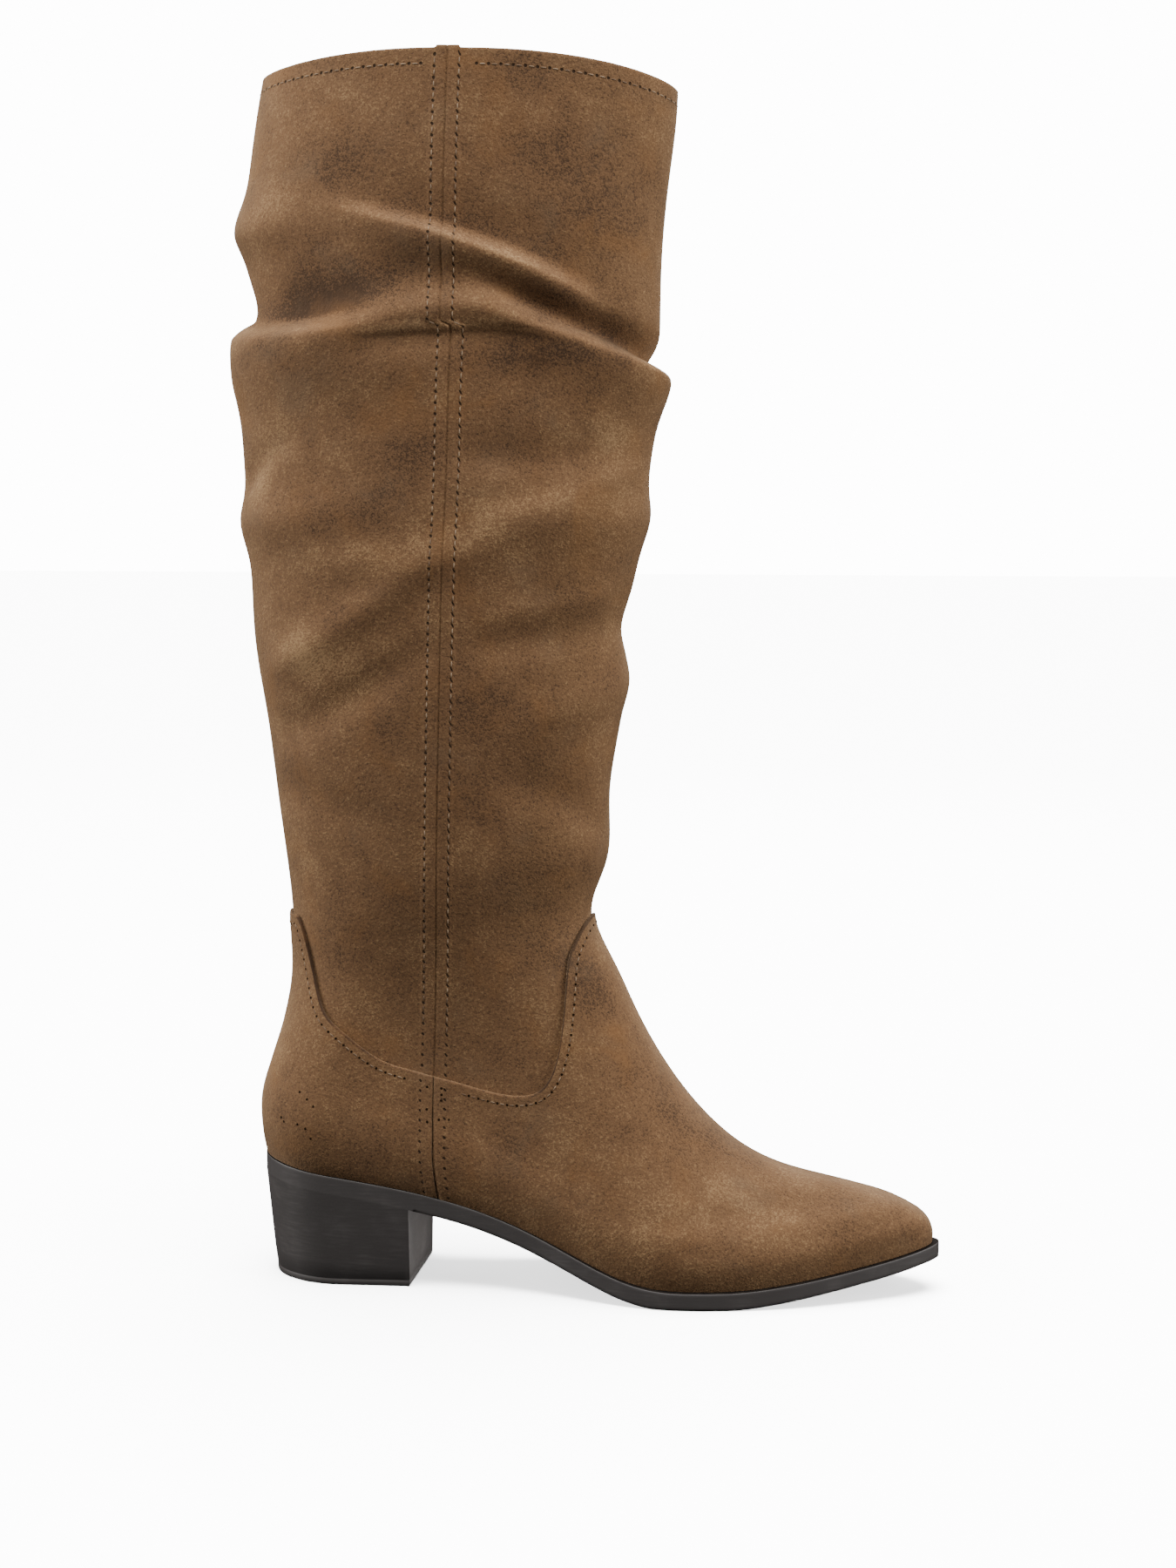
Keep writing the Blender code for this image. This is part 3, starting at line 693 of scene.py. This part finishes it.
def true_normal(station, level):
    step = 0.006
    level_up = np.minimum(level + step, COLLAR_LEVEL)
    level_down = np.maximum(level - step, 0.0)
    along = skin(station + step, level) - skin(station - step, level)
    up = skin(station, level_up) - skin(station, level_down)
    normal = np.cross(along, up)
    normal[..., 2] = np.where(level <= 0.0, 0.0, normal[..., 2])
    return normal / np.linalg.norm(normal, axis=-1, keepdims=True)


def all_stations(columns):
    """Stations around the boot from the lateral side seam on, dense over the seams' strips."""
    strip = STRIP_STATIONS * np.arange(1, STRIP_COLUMNS + 1) / STRIP_COLUMNS
    even = np.arange(1, columns + 1) / columns
    rest = STRIP_STATIONS + (1 - STRIP_STATIONS) * even ** COLUMN_SPREAD
    quarter = np.concatenate([strip, rest])
    front = np.concatenate([[1.0], 1.0 + quarter, (3.0 - quarter)[::-1][1:], [3.0]])
    back = np.concatenate([3.0 + quarter, (5.0 - quarter)[::-1][1:], [5.0]])
    return np.concatenate([front, back])


# Patches of tone, partly the nap's own brushed patches and partly painted shade and highlight on the
# soft folds and under the overhangs, by station, height, half widths around and up in millimetres, and
# tone: above 0 paler, below 0 darker.
NAP_AND_PAINTED_SHADE_PATCHES = table("station z around up tone", [
    (0.37, 328, 10, 14, 0.5), (0.33, 313, 7, 8, 0.5), (0.85, 290, 16, 9, 0.55),
    (0.61, 248, 15, 10, 1.1), (1.37, 308, 26, 6, 0.55), (1.64, 336, 18, 9, 0.5),
    (0.66, 288, 16, 8, 0.35), (1.21, 256, 22, 12, -0.1), (1.25, 397, 10, 5, 0.3),
    (0.48, 424, 9, 10, 0.5), (1.34, 454, 24, 9, 0.25), (0.64, 456, 20, 9, 0.2),
    (0.91, 349, 16, 12, 0.35), (1.26, 340, 14, 9, -0.4), (1.42, 287, 18, 8, 0.15),
    (1.77, 213, 9, 18, 0.3), (0.59, 200, 12, 16, 0.25), (0.34, 170, 8, 14, 0.3),
    (1.5, 105, 12, 10, 0.1), (0.85, 326, 12, 6, -0.5), (1.3, 324, 24, 6, -0.5),
    (1.28, 361, 26, 6, -1.1), (1.44, 346, 18, 6, -0.4), (0.6, 303, 22, 12, -0.45),
    (1.2, 279, 20, 8, -0.2), (0.81, 242, 14, 11, -0.3), (0.59, 226, 12, 7, -0.2),
    (0.37, 204, 7, 8, -0.3), (1.25, 231, 16, 12, -0.35), (1.47, 194, 16, 11, -0.4),
    (1.2, 202, 10, 7, -0.35), (1.76, 245, 7, 6, -0.5), (0.71, 159, 22, 8, -0.4),
    (1.25, 160, 18, 8, -0.3), (0.8, 429, 16, 10, -0.4), (1.51, 436, 18, 12, -0.45),
    (1.25, 419, 26, 8, -0.4), (1.62, 290, 14, 14, 0.35), (0.70, 389, 24, 12, -1),
    (1.2, 132, 16, 10, -0.3), (0.61, 127, 12, 10, -0.45), (1.47, 139, 12, 14, -0.3),
    (1.64, 134, 14, 22, -1.1), (1.88, 68, 26, 16, -0.6), (1.74, 108, 16, 20, -0.35),
    (2.3, 420, 16, 14, 0.5), (2.7, 350, 22, 14, -0.5), (3.3, 380, 20, 10, -0.5),
    (3.1, 300, 24, 14, 0.4), (2.5, 250, 18, 18, 0.45), (3.5, 230, 16, 18, -0.5),
    (2.8, 180, 20, 14, -0.4), (3.4, 150, 16, 16, 0.35), (3.6, 420, 14, 16, 0.4),
    (2.1, 300, 12, 16, 0.3), (3.9, 270, 12, 20, 0.35),
])
AROUND_STATION = 82.0
PATCH_SHARE = 0.8


def nap_and_painted_shade_tone(station, z):
    """Sum of the painted fold shade and highlight lines and the patches of nap tone and painted shade
    at a station and height.
    """
    total = fold_height(station, z, FOLD_WEAR_AND_PAINTED_LIGHT)
    for patch in NAP_AND_PAINTED_SHADE_PATCHES:
        away = np.mod(station - patch["station"] + 2.0, 4.0) - 2.0
        around = bump(away * AROUND_STATION, patch["around"])
        total += PATCH_SHARE * patch["tone"] * around * bump(z - patch["z"], patch["up"])
    return total


def store_tones(bm, tones):
    """Gives every corner its tone, the nap's own tone together with painted shade and highlight of the
    folds, which the suede reads.
    """
    layer = bm.verts.layers.float.new("brushed")
    for vert, tone in zip(bm.verts, tones):
        vert[layer] = tone
    bm.verts.index_update()


SUEDE_MIDDLE = (0.197, 0.106, 0.051)
SUEDE_PALE = (0.370, 0.223, 0.110)
SUEDE_DARK = (0.070, 0.039, 0.022)
SUEDE_ORANGE = (0.255, 0.122, 0.046)
SUEDE_GREY = (0.178, 0.118, 0.070)
HOLE_COLOUR = (0.020, 0.010, 0.005)
HOLE_RADIUS = 0.56
STITCH_PITCH = 4.15


def suede(name, lighter):
    """Brushed nap: broad patches, finer mottle, a speckled grain, the stored tone with its painted
    shade and highlight of the folds, and the holes of stitched rows, whose map gives the count of
    stitches along a row and the distance from it in millimetres."""
    material, place, shader = start_material(name, 0.12)
    # The stored tone: the nap's own patches with painted shade and highlight of the folds
    tone = place.add("ShaderNodeAttribute", {"attribute_name": "brushed"}, {}, "Fac")
    broad = place.noise(20.0, 2.0, 0.5, 0.6)
    mottle = place.noise(62.0, 4.0, 0.62, 0.4)
    warm = place.noise(34.0, 3.0, 0.6, 0.3)
    grain = place.noise(820.0, 3.0, 0.75)
    fibre = place.noise(1700.0, 2.0, 0.6)
    level = (broad - 0.5) * 1.2 + (mottle - 0.5) * 1.5 + tone * 0.62 + lighter
    level = level + (grain - 0.5) * 2.2 + (fibre - 0.5) * 2.2
    base = level.between(0.0, 1.0).blend(SUEDE_MIDDLE, SUEDE_PALE)
    base = (0.0 - level).between(0.0, 1.0).blend(base, SUEDE_DARK)
    base = (warm.between(0.52, 0.78) * 0.5).blend(base, SUEDE_ORANGE)
    base = ((1.0 - warm).between(0.54, 0.8) * 0.45).blend(base, SUEDE_GREY)
    rows = place.add("ShaderNodeUVMap", {"uv_map": "rows"}, {})
    parts = place.add("ShaderNodeSeparateXYZ", {}, {"Vector": rows})
    off = Shade(parts.tree, parts.socket.node.outputs[1])
    along = (parts.math("FRACT", parts) - 0.5) * STITCH_PITCH
    distance = place.math("SQRT", along * along + off * off)
    hole = 1.0 - distance.between(HOLE_RADIUS * 0.7, HOLE_RADIUS * 1.35)
    base = (hole * 0.93).blend(base, HOLE_COLOUR)
    base.feed(shader, "Base Color")
    (0.88 + (grain - 0.5) * 0.2).feed(shader, "Roughness")
    height = grain * 0.5 + fibre * 0.2 + mottle * 0.4 - hole * 0.6
    height.relief(shader, 0.001, 0.75)
    shader.inputs["Sheen Weight"].default_value = 0.5
    shader.inputs["Sheen Roughness"].default_value = 0.45
    shader.inputs["Sheen Tint"].default_value = (0.78, 0.56, 0.36, 1)
    return material


shaft_suede = suede("shaft suede", -0.02)
NO_ROW = 9.0
TAB_RISE = 0.9
TAB_HALF = 4.9
TAB_LEVEL = 24.7
TAB_FADE = 0.7
RIM_ROW_BELOW = 5.5
RIM_PITCH = 4.5
RIM_ZONE = 8.0
RIM_ROW_LEVEL = 24.6
SEAM_ZONE = 8.0
SHAFT_COLUMNS = 38
INNER_FACE_DEPTH = 1.15
# Rows over the rim, from the outer face to the inner one
RIM_ROWS = table("inward raised", [(0.2, 0.30), (0.55, 0.42), (0.9, 0.30), (1.1, 0)])


def spread(*stretches):
    """Levels row by row: each stretch has its first level and the rows up to the next one."""
    ends = [level for level, _ in stretches]
    parts = [np.linspace(low, high, rows + 1)[:-1]
             for low, high, (_, rows) in zip(ends, ends[1:], stretches)]
    return np.concatenate(parts + [ends[-1:]])


def length_along(grid, axis):
    """Length from the start of each line of a grid, in millimetres."""
    steps = np.linalg.norm(np.diff(grid, axis=axis), axis=-1)
    start = np.zeros_like(np.take(steps, [0], axis=axis))
    return np.concatenate([start, np.cumsum(steps, axis=axis)], axis=axis)


def store_rows(bm, up, off, around, below):
    """Gives each face corner its place on the side seams' rows or on the row under the collar:
    the count of stitches along the row and the distance from it."""
    layer = bm.loops.layers.uv.new("rows")
    for face in bm.faces:
        corners = [vert.index for vert in face.verts]
        near_seam = abs(sum(off[corner] for corner in corners) / len(corners)) < SEAM_ZONE
        near_rim = sum(below[corner] for corner in corners) / len(corners) < RIM_ZONE
        for loop in face.loops:
            at = loop.vert.index
            if near_seam:
                loop[layer].uv = (up[at] / STITCH_PITCH, abs(off[at]) - ROW_FROM_SEAM)
            elif near_rim:
                loop[layer].uv = (around[at] / RIM_PITCH, below[at] - RIM_ROW_BELOW)
            else:
                loop[layer].uv = (0.0, NO_ROW)


stations = all_stations(SHAFT_COLUMNS)
levels = spread((0.0, 8), (8.0, 30), (12.0, 99), (20.2, 105), (22.7, 32), (COLLAR_LEVEL, 0))
inner_levels = spread((COLLAR_LEVEL, 11), (22.7, 80), (20.2, 41), (12.0, 15), (0.0, 0))
outer_rows = len(levels)
all_levels = np.concatenate([levels, [COLLAR_LEVEL] * len(RIM_ROWS), inner_levels])
bm, column, row = flat_sheet(len(stations) - 1, len(all_levels) - 1)
station = stations[column]
inward = np.concatenate([np.zeros(outer_rows), RIM_ROWS["inward"],
                         np.full(len(inner_levels), INNER_FACE_DEPTH)])
raised = np.concatenate([np.zeros(outer_rows), RIM_ROWS["raised"], np.zeros(len(inner_levels))])
level = all_levels[row]
points = skin(station, level, -inward[row])
seam_off = plain_skin(station, level)[1]
tab = TAB_RISE * ease((TAB_HALF - np.abs(seam_off)) / TAB_FADE)
tab = tab * ease((level - TAB_LEVEL) / (COLLAR_LEVEL - TAB_LEVEL))
points[:, 2] += raised[row] + tab
points[:, 2] = np.where(level <= 0.0, sole_gap(points[:, 0]), points[:, 2])
lay(bm, points)
grid = skin(stations[:, None], levels[None, :])
up_length = length_along(grid, 1)
around_length = length_along(grid, 0)
verts_up = up_length[column, np.minimum(row, outer_rows - 1)]
rim_row = int(np.searchsorted(levels, RIM_ROW_LEVEL))
verts_around = around_length[column, rim_row]
verts_below = up_length[column, -1] - verts_up
verts_off = np.where(row >= outer_rows, 0.0, seam_off)
# Tones of the nap together with painted shade and highlight of the folds
store_tones(bm, nap_and_painted_shade_tone(station, points[:, 2]))
store_rows(bm, verts_up, verts_off, verts_around, verts_below)
close(bm)
piece(bm, "shaft", [shaft_suede], ["upper"], sharp=75)


# Lining: thin smooth leather glued inside the shaft, from just under the collar to the insole,
# with a flat joint up each side seam.
LINING_OUTSIDE = 1.4
LINING_INSIDE = 1.9
LINING_TOP_LEVEL = 24.93
LINING_FOOT_LEVEL = 0.35
LINING_JOINT_RISE = 0.3
LINING_COLUMNS = 26


def leather(name, darker, paler, cloud_scale, pebble_scale, dullness, shine):
    """Smooth leather: soft clouds of tone and a fine pebbled grain."""
    material, place, shader = start_material(name, shine)
    clouds = place.noise(cloud_scale)
    clouds.between(0.35, 0.7).blend(darker, paler).feed(shader, "Base Color")
    (dullness + clouds * 0.15).feed(shader, "Roughness")
    place.noise(pebble_scale, 2.0).relief(shader, 0.0002, 0.5)
    return material


lining_leather = leather(
    "lining leather", (0.30, 0.185, 0.105), (0.42, 0.275, 0.165), 26.0, 1500.0, 0.55, 0.3)
lining_stations = all_stations(LINING_COLUMNS)
outer_levels = spread(
    (LINING_FOOT_LEVEL, 15), (12.0, 41), (20.2, 90), (22.7, 11), (LINING_TOP_LEVEL, 0))
bm, column, row = flat_sheet(len(lining_stations) - 1, 2 * len(outer_levels))
sheet_levels = np.concatenate([outer_levels, outer_levels[::-1], outer_levels[:1]])
sheet_inward = np.repeat([LINING_OUTSIDE, LINING_INSIDE, LINING_OUTSIDE],
                         [len(outer_levels), len(outer_levels), 1])
station = lining_stations[column]
level = sheet_levels[row]
from_seam = np.abs(plain_skin(station, level)[1])
joint = LINING_JOINT_RISE * ease((TAB_HALF - from_seam) / 1.0) * (sheet_inward[row] > LINING_OUTSIDE)
# On the low toe the sheet follows the leather's own direction, elsewhere it goes straight inward
straight_share = ease((level - 8.0) / 4.0)[:, None]
direction = outward(station, level) * straight_share
direction = direction + true_normal(station, level) * (1 - straight_share)
points = skin(station, level) - direction * (sheet_inward[row] + joint)[:, None]
lay(bm, points)
close(bm)
piece(bm, "lining", [lining_leather])


# Stitches: tan thread between the holes of the rows along both side seams and under the collar,
# each stitch a small bead pulled into the nap.
THREAD_REACH = 0.25
THREAD_ENDS = np.array([-THREAD_REACH, THREAD_REACH])
THREAD_HALF_THICK = 0.27
THREAD_LIFT = 0.02
ROW_SEARCH_STATIONS = 0.12
SEAM_ROWS_FROM_LEVEL = 9.4

thread_yarn, place, shader = start_material("tan thread")
soil = place.noise(90.0, 3.0)
soil.between(0.35, 0.65).blend((0.150, 0.090, 0.050), (0.38, 0.265, 0.165)).feed(shader, "Base Color")
(0.6 + soil * 0.2).feed(shader, "Roughness")


def add_bead(bm, middle, along, sizes, sides, bands):
    """One small rounded body, its last half size along the direction given, in millimetres."""
    middle = Vector(middle) - Vector((HEEL_CENTRE_X, 0.0, 0.0))
    sized = Matrix.Diagonal((*sizes, 1.0))
    turned = Vector(along).to_track_quat("Z", "Y").to_matrix().to_4x4()
    spot = Matrix.Scale(MM, 4) @ Matrix.Translation(middle) @ turned @ sized
    bmesh.ops.create_uvsphere(bm, u_segments=sides, v_segments=bands, radius=1.0, matrix=spot)


def add_stitch(bm, first, last, thick=THREAD_HALF_THICK):
    """One bead of thread between two places."""
    half = (Vector(last) - Vector(first)) / 2
    middle = (Vector(last) + Vector(first)) / 2
    add_bead(bm, middle, half, (thick, thick, half.length), 6, 5)


def seam_row(middle, side):
    """Both ends of each stitch of one row beside a side seam, between the suede's own holes."""
    row_levels = levels[levels > SEAM_ROWS_FROM_LEVEL]
    numbers = np.searchsorted(levels, row_levels)
    near = middle + side * np.linspace(0.0, ROW_SEARCH_STATIONS, 200)
    away = np.abs(plain_skin(near[:, None], row_levels[None, :])[1])
    at = near[np.abs(away - ROW_FROM_SEAM).argmin(axis=0)]
    order = np.argsort(np.mod(stations, 4.0), kind="stable")
    places = np.mod(stations, 4.0)[order]
    lengths = [np.interp(np.mod(station, 4.0), places, up_length[order, number])
               for station, number in zip(at, numbers)]
    count = np.array(lengths) / STITCH_PITCH
    for whole in range(math.ceil(count[0]), math.floor(count[-1])):
        spots = whole + THREAD_ENDS
        spot_levels = np.interp(spots, count, row_levels)
        yield skin(np.interp(spots, count, at), spot_levels, THREAD_LIFT)


bm = bmesh.new()
for middle in (1.0, 3.0):
    for side in (-1, 1):
        for first, last in seam_row(middle, side):
            add_stitch(bm, first, last)

rim_around = around_length[:, rim_row]
for whole in range(1, math.floor(rim_around[-1] / RIM_PITCH)):
    spots = (whole + THREAD_ENDS) * RIM_PITCH
    spot_stations = np.interp(spots, rim_around, stations)
    columns = np.clip(np.searchsorted(stations, spot_stations), 1, len(stations) - 1)
    spot_levels = np.array([
        np.interp(up_length[at, -1] - RIM_ROW_BELOW, up_length[at], levels) for at in columns])
    beside = np.abs(plain_skin(spot_stations, spot_levels)[1])
    if beside.min() > SEAM_ZONE:
        first, last = skin(spot_stations, spot_levels, THREAD_LIFT)
        add_stitch(bm, first, last)
piece(bm, "stitches", [thread_yarn])


# Vamp: the smooth front of the foot, one sheet of the same suede laid over the shaft, cut in a
# deep U along its top and sewn down with one row. It ends at the side seams.
MARGIN_STATIONS = 0.0008
# Painted shade over the sheet's cut edge, standing in for the shadow line along it
CUT_EDGE_PAINTED_SHADE = -1.8
CUT_EDGE_PAINTED_SHADE_LEVEL = -0.5
EDGE_SHARE_DOWN = 1.8
LEVEL_STEP = 0.1
EDGE_ROW_BELOW = 3.6
EDGE_PITCH = 3.9
HIGHEST_EDGE_LEVEL = 16.0
INNER_ROWS = 11
# Rows over the cut edge: millimetres below it and share of the sheet's thickness
CUT_ROWS = table("below thick", [(1.2, 1), (0.6, 0.97), (0.25, 0.88), (0, 0.68), (0, 0.3), (0, 0)])

EDGE = table("station z", [
    (0, 146), (0.20, 145.2), (0.32, 141), (0.39, 127), (0.46, 114),
    (0.60, 102.5), (0.80, 90.6), (1, 84.9), (1.13, 80), (1.23, 78.2),
    (1.31, 81.5), (1.38, 90.5), (1.46, 106), (1.55, 124.5), (1.68, 137),
    (1.85, 144.5), (2, 146.5),
])


def edge_level(station):
    """Level at which the top edge of the vamp and counter crosses each station."""
    folded = np.mod(station, 4.0)
    folded = np.where(folded > 2.0, 4.0 - folded, folded)
    target = smooth(EDGE["station"], EDGE["z"], folded)
    low = np.zeros_like(station)
    high = np.full_like(station, HIGHEST_EDGE_LEVEL)
    for _ in range(30):
        middle = (low + high) / 2
        under = plain_skin(station, middle)[0][..., 2] < target
        low = np.where(under, middle, low)
        high = np.where(under, high, middle)
    return (low + high) / 2


def overlay(name, first, last, rows, material):
    """Sheet over the foot between two side seams, from the sole to the U-shaped edge."""
    stations = all_stations(SHAFT_COLUMNS)
    if first > last:
        stations = np.unique(np.mod(stations - first, 4.0) + first)
        last = last + 4.0
    inside = stations[(stations > first + MARGIN_STATIONS) & (stations < last - MARGIN_STATIONS)]
    stations = np.concatenate([[first], inside, [last]])
    top = edge_level(stations)
    shares = np.linspace(0.0, 1.0, rows)
    # Rows of one column: up the outside, over the cut edge, and down the inside
    inner_shares = np.linspace(1.0, 0.0, INNER_ROWS + 1)[1:]
    edge_rows = rows + len(CUT_ROWS)
    all_shares = np.concatenate([shares, np.ones(len(CUT_ROWS)), inner_shares])
    bm, column, row = flat_sheet(len(stations) - 1, len(all_shares) - 1)
    share = all_shares[row]
    down = np.concatenate([np.zeros(rows), CUT_ROWS["below"], np.zeros(INNER_ROWS)])[row]
    full = np.concatenate([np.ones(rows), CUT_ROWS["thick"], np.zeros(INNER_ROWS)])[row]
    down = np.where(row < rows, EDGE_SHARE_DOWN * share, down)
    station = stations[column]
    column_top = top[column]
    # A level is about ten millimetres on the foot, so a step down the edge is a tenth of a level
    lower = plain_skin(station, column_top - LEVEL_STEP)[0]
    slope = plain_skin(station, column_top)[0][:, 2] - lower[:, 2]
    level = np.maximum(column_top * share - down * LEVEL_STEP / np.maximum(slope, 0.35), 0.0)
    level = np.where(row >= edge_rows, column_top * share, level)
    station = np.clip(station, first + MARGIN_STATIONS, last - MARGIN_STATIONS)
    at_seam = (column == 0) | (column == len(stations) - 1)
    thickness = SHEET * np.where(at_seam, np.minimum(full, 0.45), full)
    normal = true_normal(station, level)
    points = skin(station, level) + normal * (GAP + thickness)[:, None]
    points[:, 2] = np.where(level <= 0.0, sole_gap(points[:, 0]), points[:, 2])
    lay(bm, points)
    off = plain_skin(station, level)[1]
    grid = skin(stations[:, None], top[:, None] * all_shares[None, :])
    verts_up = length_along(grid, 1)[column, np.minimum(row, rows - 1)]
    verts_off = np.where(row >= rows, NO_ROW + SEAM_ZONE, off)
    nowhere = np.full(len(row), RIM_ZONE + 1)
    # Tones of the nap together with painted shade and highlight of the folds
    tones = nap_and_painted_shade_tone(station, points[:, 2])
    steep = np.abs(np.gradient(grid[:, rows, 2], np.hypot(grid[:, rows, 0], grid[:, rows, 1])))
    # Painted shade over the cut edge, darkest where the edge runs steeply
    cut = (row >= rows + 1) & (row < edge_rows)
    tones = np.where(cut, CUT_EDGE_PAINTED_SHADE * ease((steep[column] - 0.4) / 0.8) + CUT_EDGE_PAINTED_SHADE_LEVEL, tones)
    store_tones(bm, tones)
    store_rows(bm, verts_up, verts_off, nowhere, nowhere)
    for side in (0, len(stations) - 1):
        rim = [vert for vert, at in zip(bm.verts, column) if at == side]
        edges = {edge for vert in rim for edge in vert.link_edges if edge.other_vert(vert) in rim}
        bmesh.ops.holes_fill(bm, edges=list(edges), sides=0)
    close(bm)
    return piece(bm, name, [material], [name], sharp=75)


vamp_suede = suede("vamp suede", 0.05)
overlay("vamp", 1.0, 3.0, 90, vamp_suede)


# Counter: the same sheet around the heel, sewn along its edge and butted to the vamp at the side
# seams. At the back its edge rises to the top of the U again.
counter_suede = suede("counter suede", 0.04)
overlay("counter", 3.0, 1.0, 70, counter_suede)


# Edge stitches: the row along the U of the vamp and counter, dark needle holes with tan thread
# between them, and the few dark tacks and pinholes at the side seam and the heel.
HOLE_HALF = 0.52
HOLE_FLAT = 0.16
ROW_END_STATIONS = 0.09
PINHOLES = table("station z", [
    # two short arcs at the back of the heel
    (0.466, 77.2), (0.511, 74.8), (0.547, 72.3),
    (0.382, 66.6), (0.401, 65.1), (0.481, 64.9), (0.521, 63.5), (0.545, 59.8),
    # tacks beside the side seam
    (0.979, 81), (1.020, 80.5), (1.020, 78), (1.019, 75.7), (0.980, 72.2),
    (0.983, 67.2), (1.013, 68.2), (1.032, 68.1),
])

hole_dark, place, shader = start_material("needle hole", 0.0)
speck = place.noise(900.0, 2.0)
speck.between(0.3, 0.7).blend((0.012, 0.007, 0.004), (0.030, 0.017, 0.009)).feed(shader, "Base Color")
shader.inputs["Roughness"].default_value = 1.0


def on_skin(target, station, level):
    """Station and level of the place on the skin nearest to each target."""
    step = 0.004
    for _ in range(8):
        place = skin(station, level)
        around = (skin(station + step, level) - place) / step
        up = (skin(station, level + step) - place) / step
        miss = target - place
        aa, uu, au = (around * around).sum(-1), (up * up).sum(-1), (around * up).sum(-1)
        ma, mu = (miss * around).sum(-1), (miss * up).sum(-1)
        size = aa * uu - au * au
        station = station + np.clip((ma * uu - mu * au) / size, -0.03, 0.03)
        level = np.clip(level + np.clip((mu * aa - ma * au) / size, -0.4, 0.4), 0.05, 15.9)
    return station, level


def add_hole(bm, place, normal):
    """One flat dark spot, half sunk in the nap."""
    add_bead(bm, place, normal, (HOLE_HALF, HOLE_HALF, HOLE_FLAT), 8, 4)


holes = bmesh.new()
threads = bmesh.new()
edge_stations = np.linspace(0.0, 4.0, 1601)
edge_levels = edge_level(edge_stations)
edge_line = skin(edge_stations, edge_levels)
tangent = np.gradient(edge_line, axis=0)
tangent = tangent / np.linalg.norm(tangent, axis=-1, keepdims=True)
facing = true_normal(edge_stations, edge_levels)
inside = np.cross(tangent, facing)
inside = inside * np.sign(-inside[:, 2:3] + 1e-9)
row_station, row_level = on_skin(edge_line + inside * EDGE_ROW_BELOW, edge_stations, edge_levels)
row_line = skin(row_station, row_level)
row_length = length_along(row_line, 0)
row_facing = true_normal(row_station, row_level)
for count in range(1, math.floor(row_length[-1] / EDGE_PITCH)):
    spots = (count + np.append(THREAD_ENDS, 0.5)) * EDGE_PITCH
    at = np.interp(spots, row_length, edge_stations)
    place, normal = [
        np.stack([np.interp(at, edge_stations, line[:, axis]) for axis in range(3)], axis=-1)
        for line in (row_line, row_facing)]
    place = place + normal * (GAP + SHEET + THREAD_LIFT)
    from_seam = min(abs(at[2] - 1.0), abs(at[2] - 3.0))
    if from_seam > ROW_END_STATIONS:
        add_hole(holes, place[2], normal[2])
        add_stitch(threads, place[0], place[1], THREAD_HALF_THICK * 0.8)

pin_station = np.concatenate([PINHOLES["station"], 4.0 - PINHOLES["station"]])
pin_height = np.tile(PINHOLES["z"], 2)
pin_level = np.full(len(pin_station), 4.0)
for _ in range(40):
    pin_level = pin_level + (pin_height - skin(pin_station, pin_level)[:, 2]) * 0.05
pin_facing = true_normal(pin_station, pin_level)
pin_place = skin(pin_station, pin_level) + pin_facing * (GAP + SHEET)
for place, normal in zip(pin_place, pin_facing):
    add_hole(holes, place, normal)
piece(holes, "needle_holes", [hole_dark])
piece(threads, "edge_stitches", [thread_yarn])


# Insole: smooth tan leather glued over the insole board. The CAD's own insole is shown, lying on
# the sole inside the upper.
insole_leather = leather(
    "insole leather", (0.33, 0.20, 0.115), (0.45, 0.30, 0.18), 40.0, 1400.0, 0.5, 0.5)
for material_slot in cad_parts["insole"].material_slots:
    material_slot.material = insole_leather
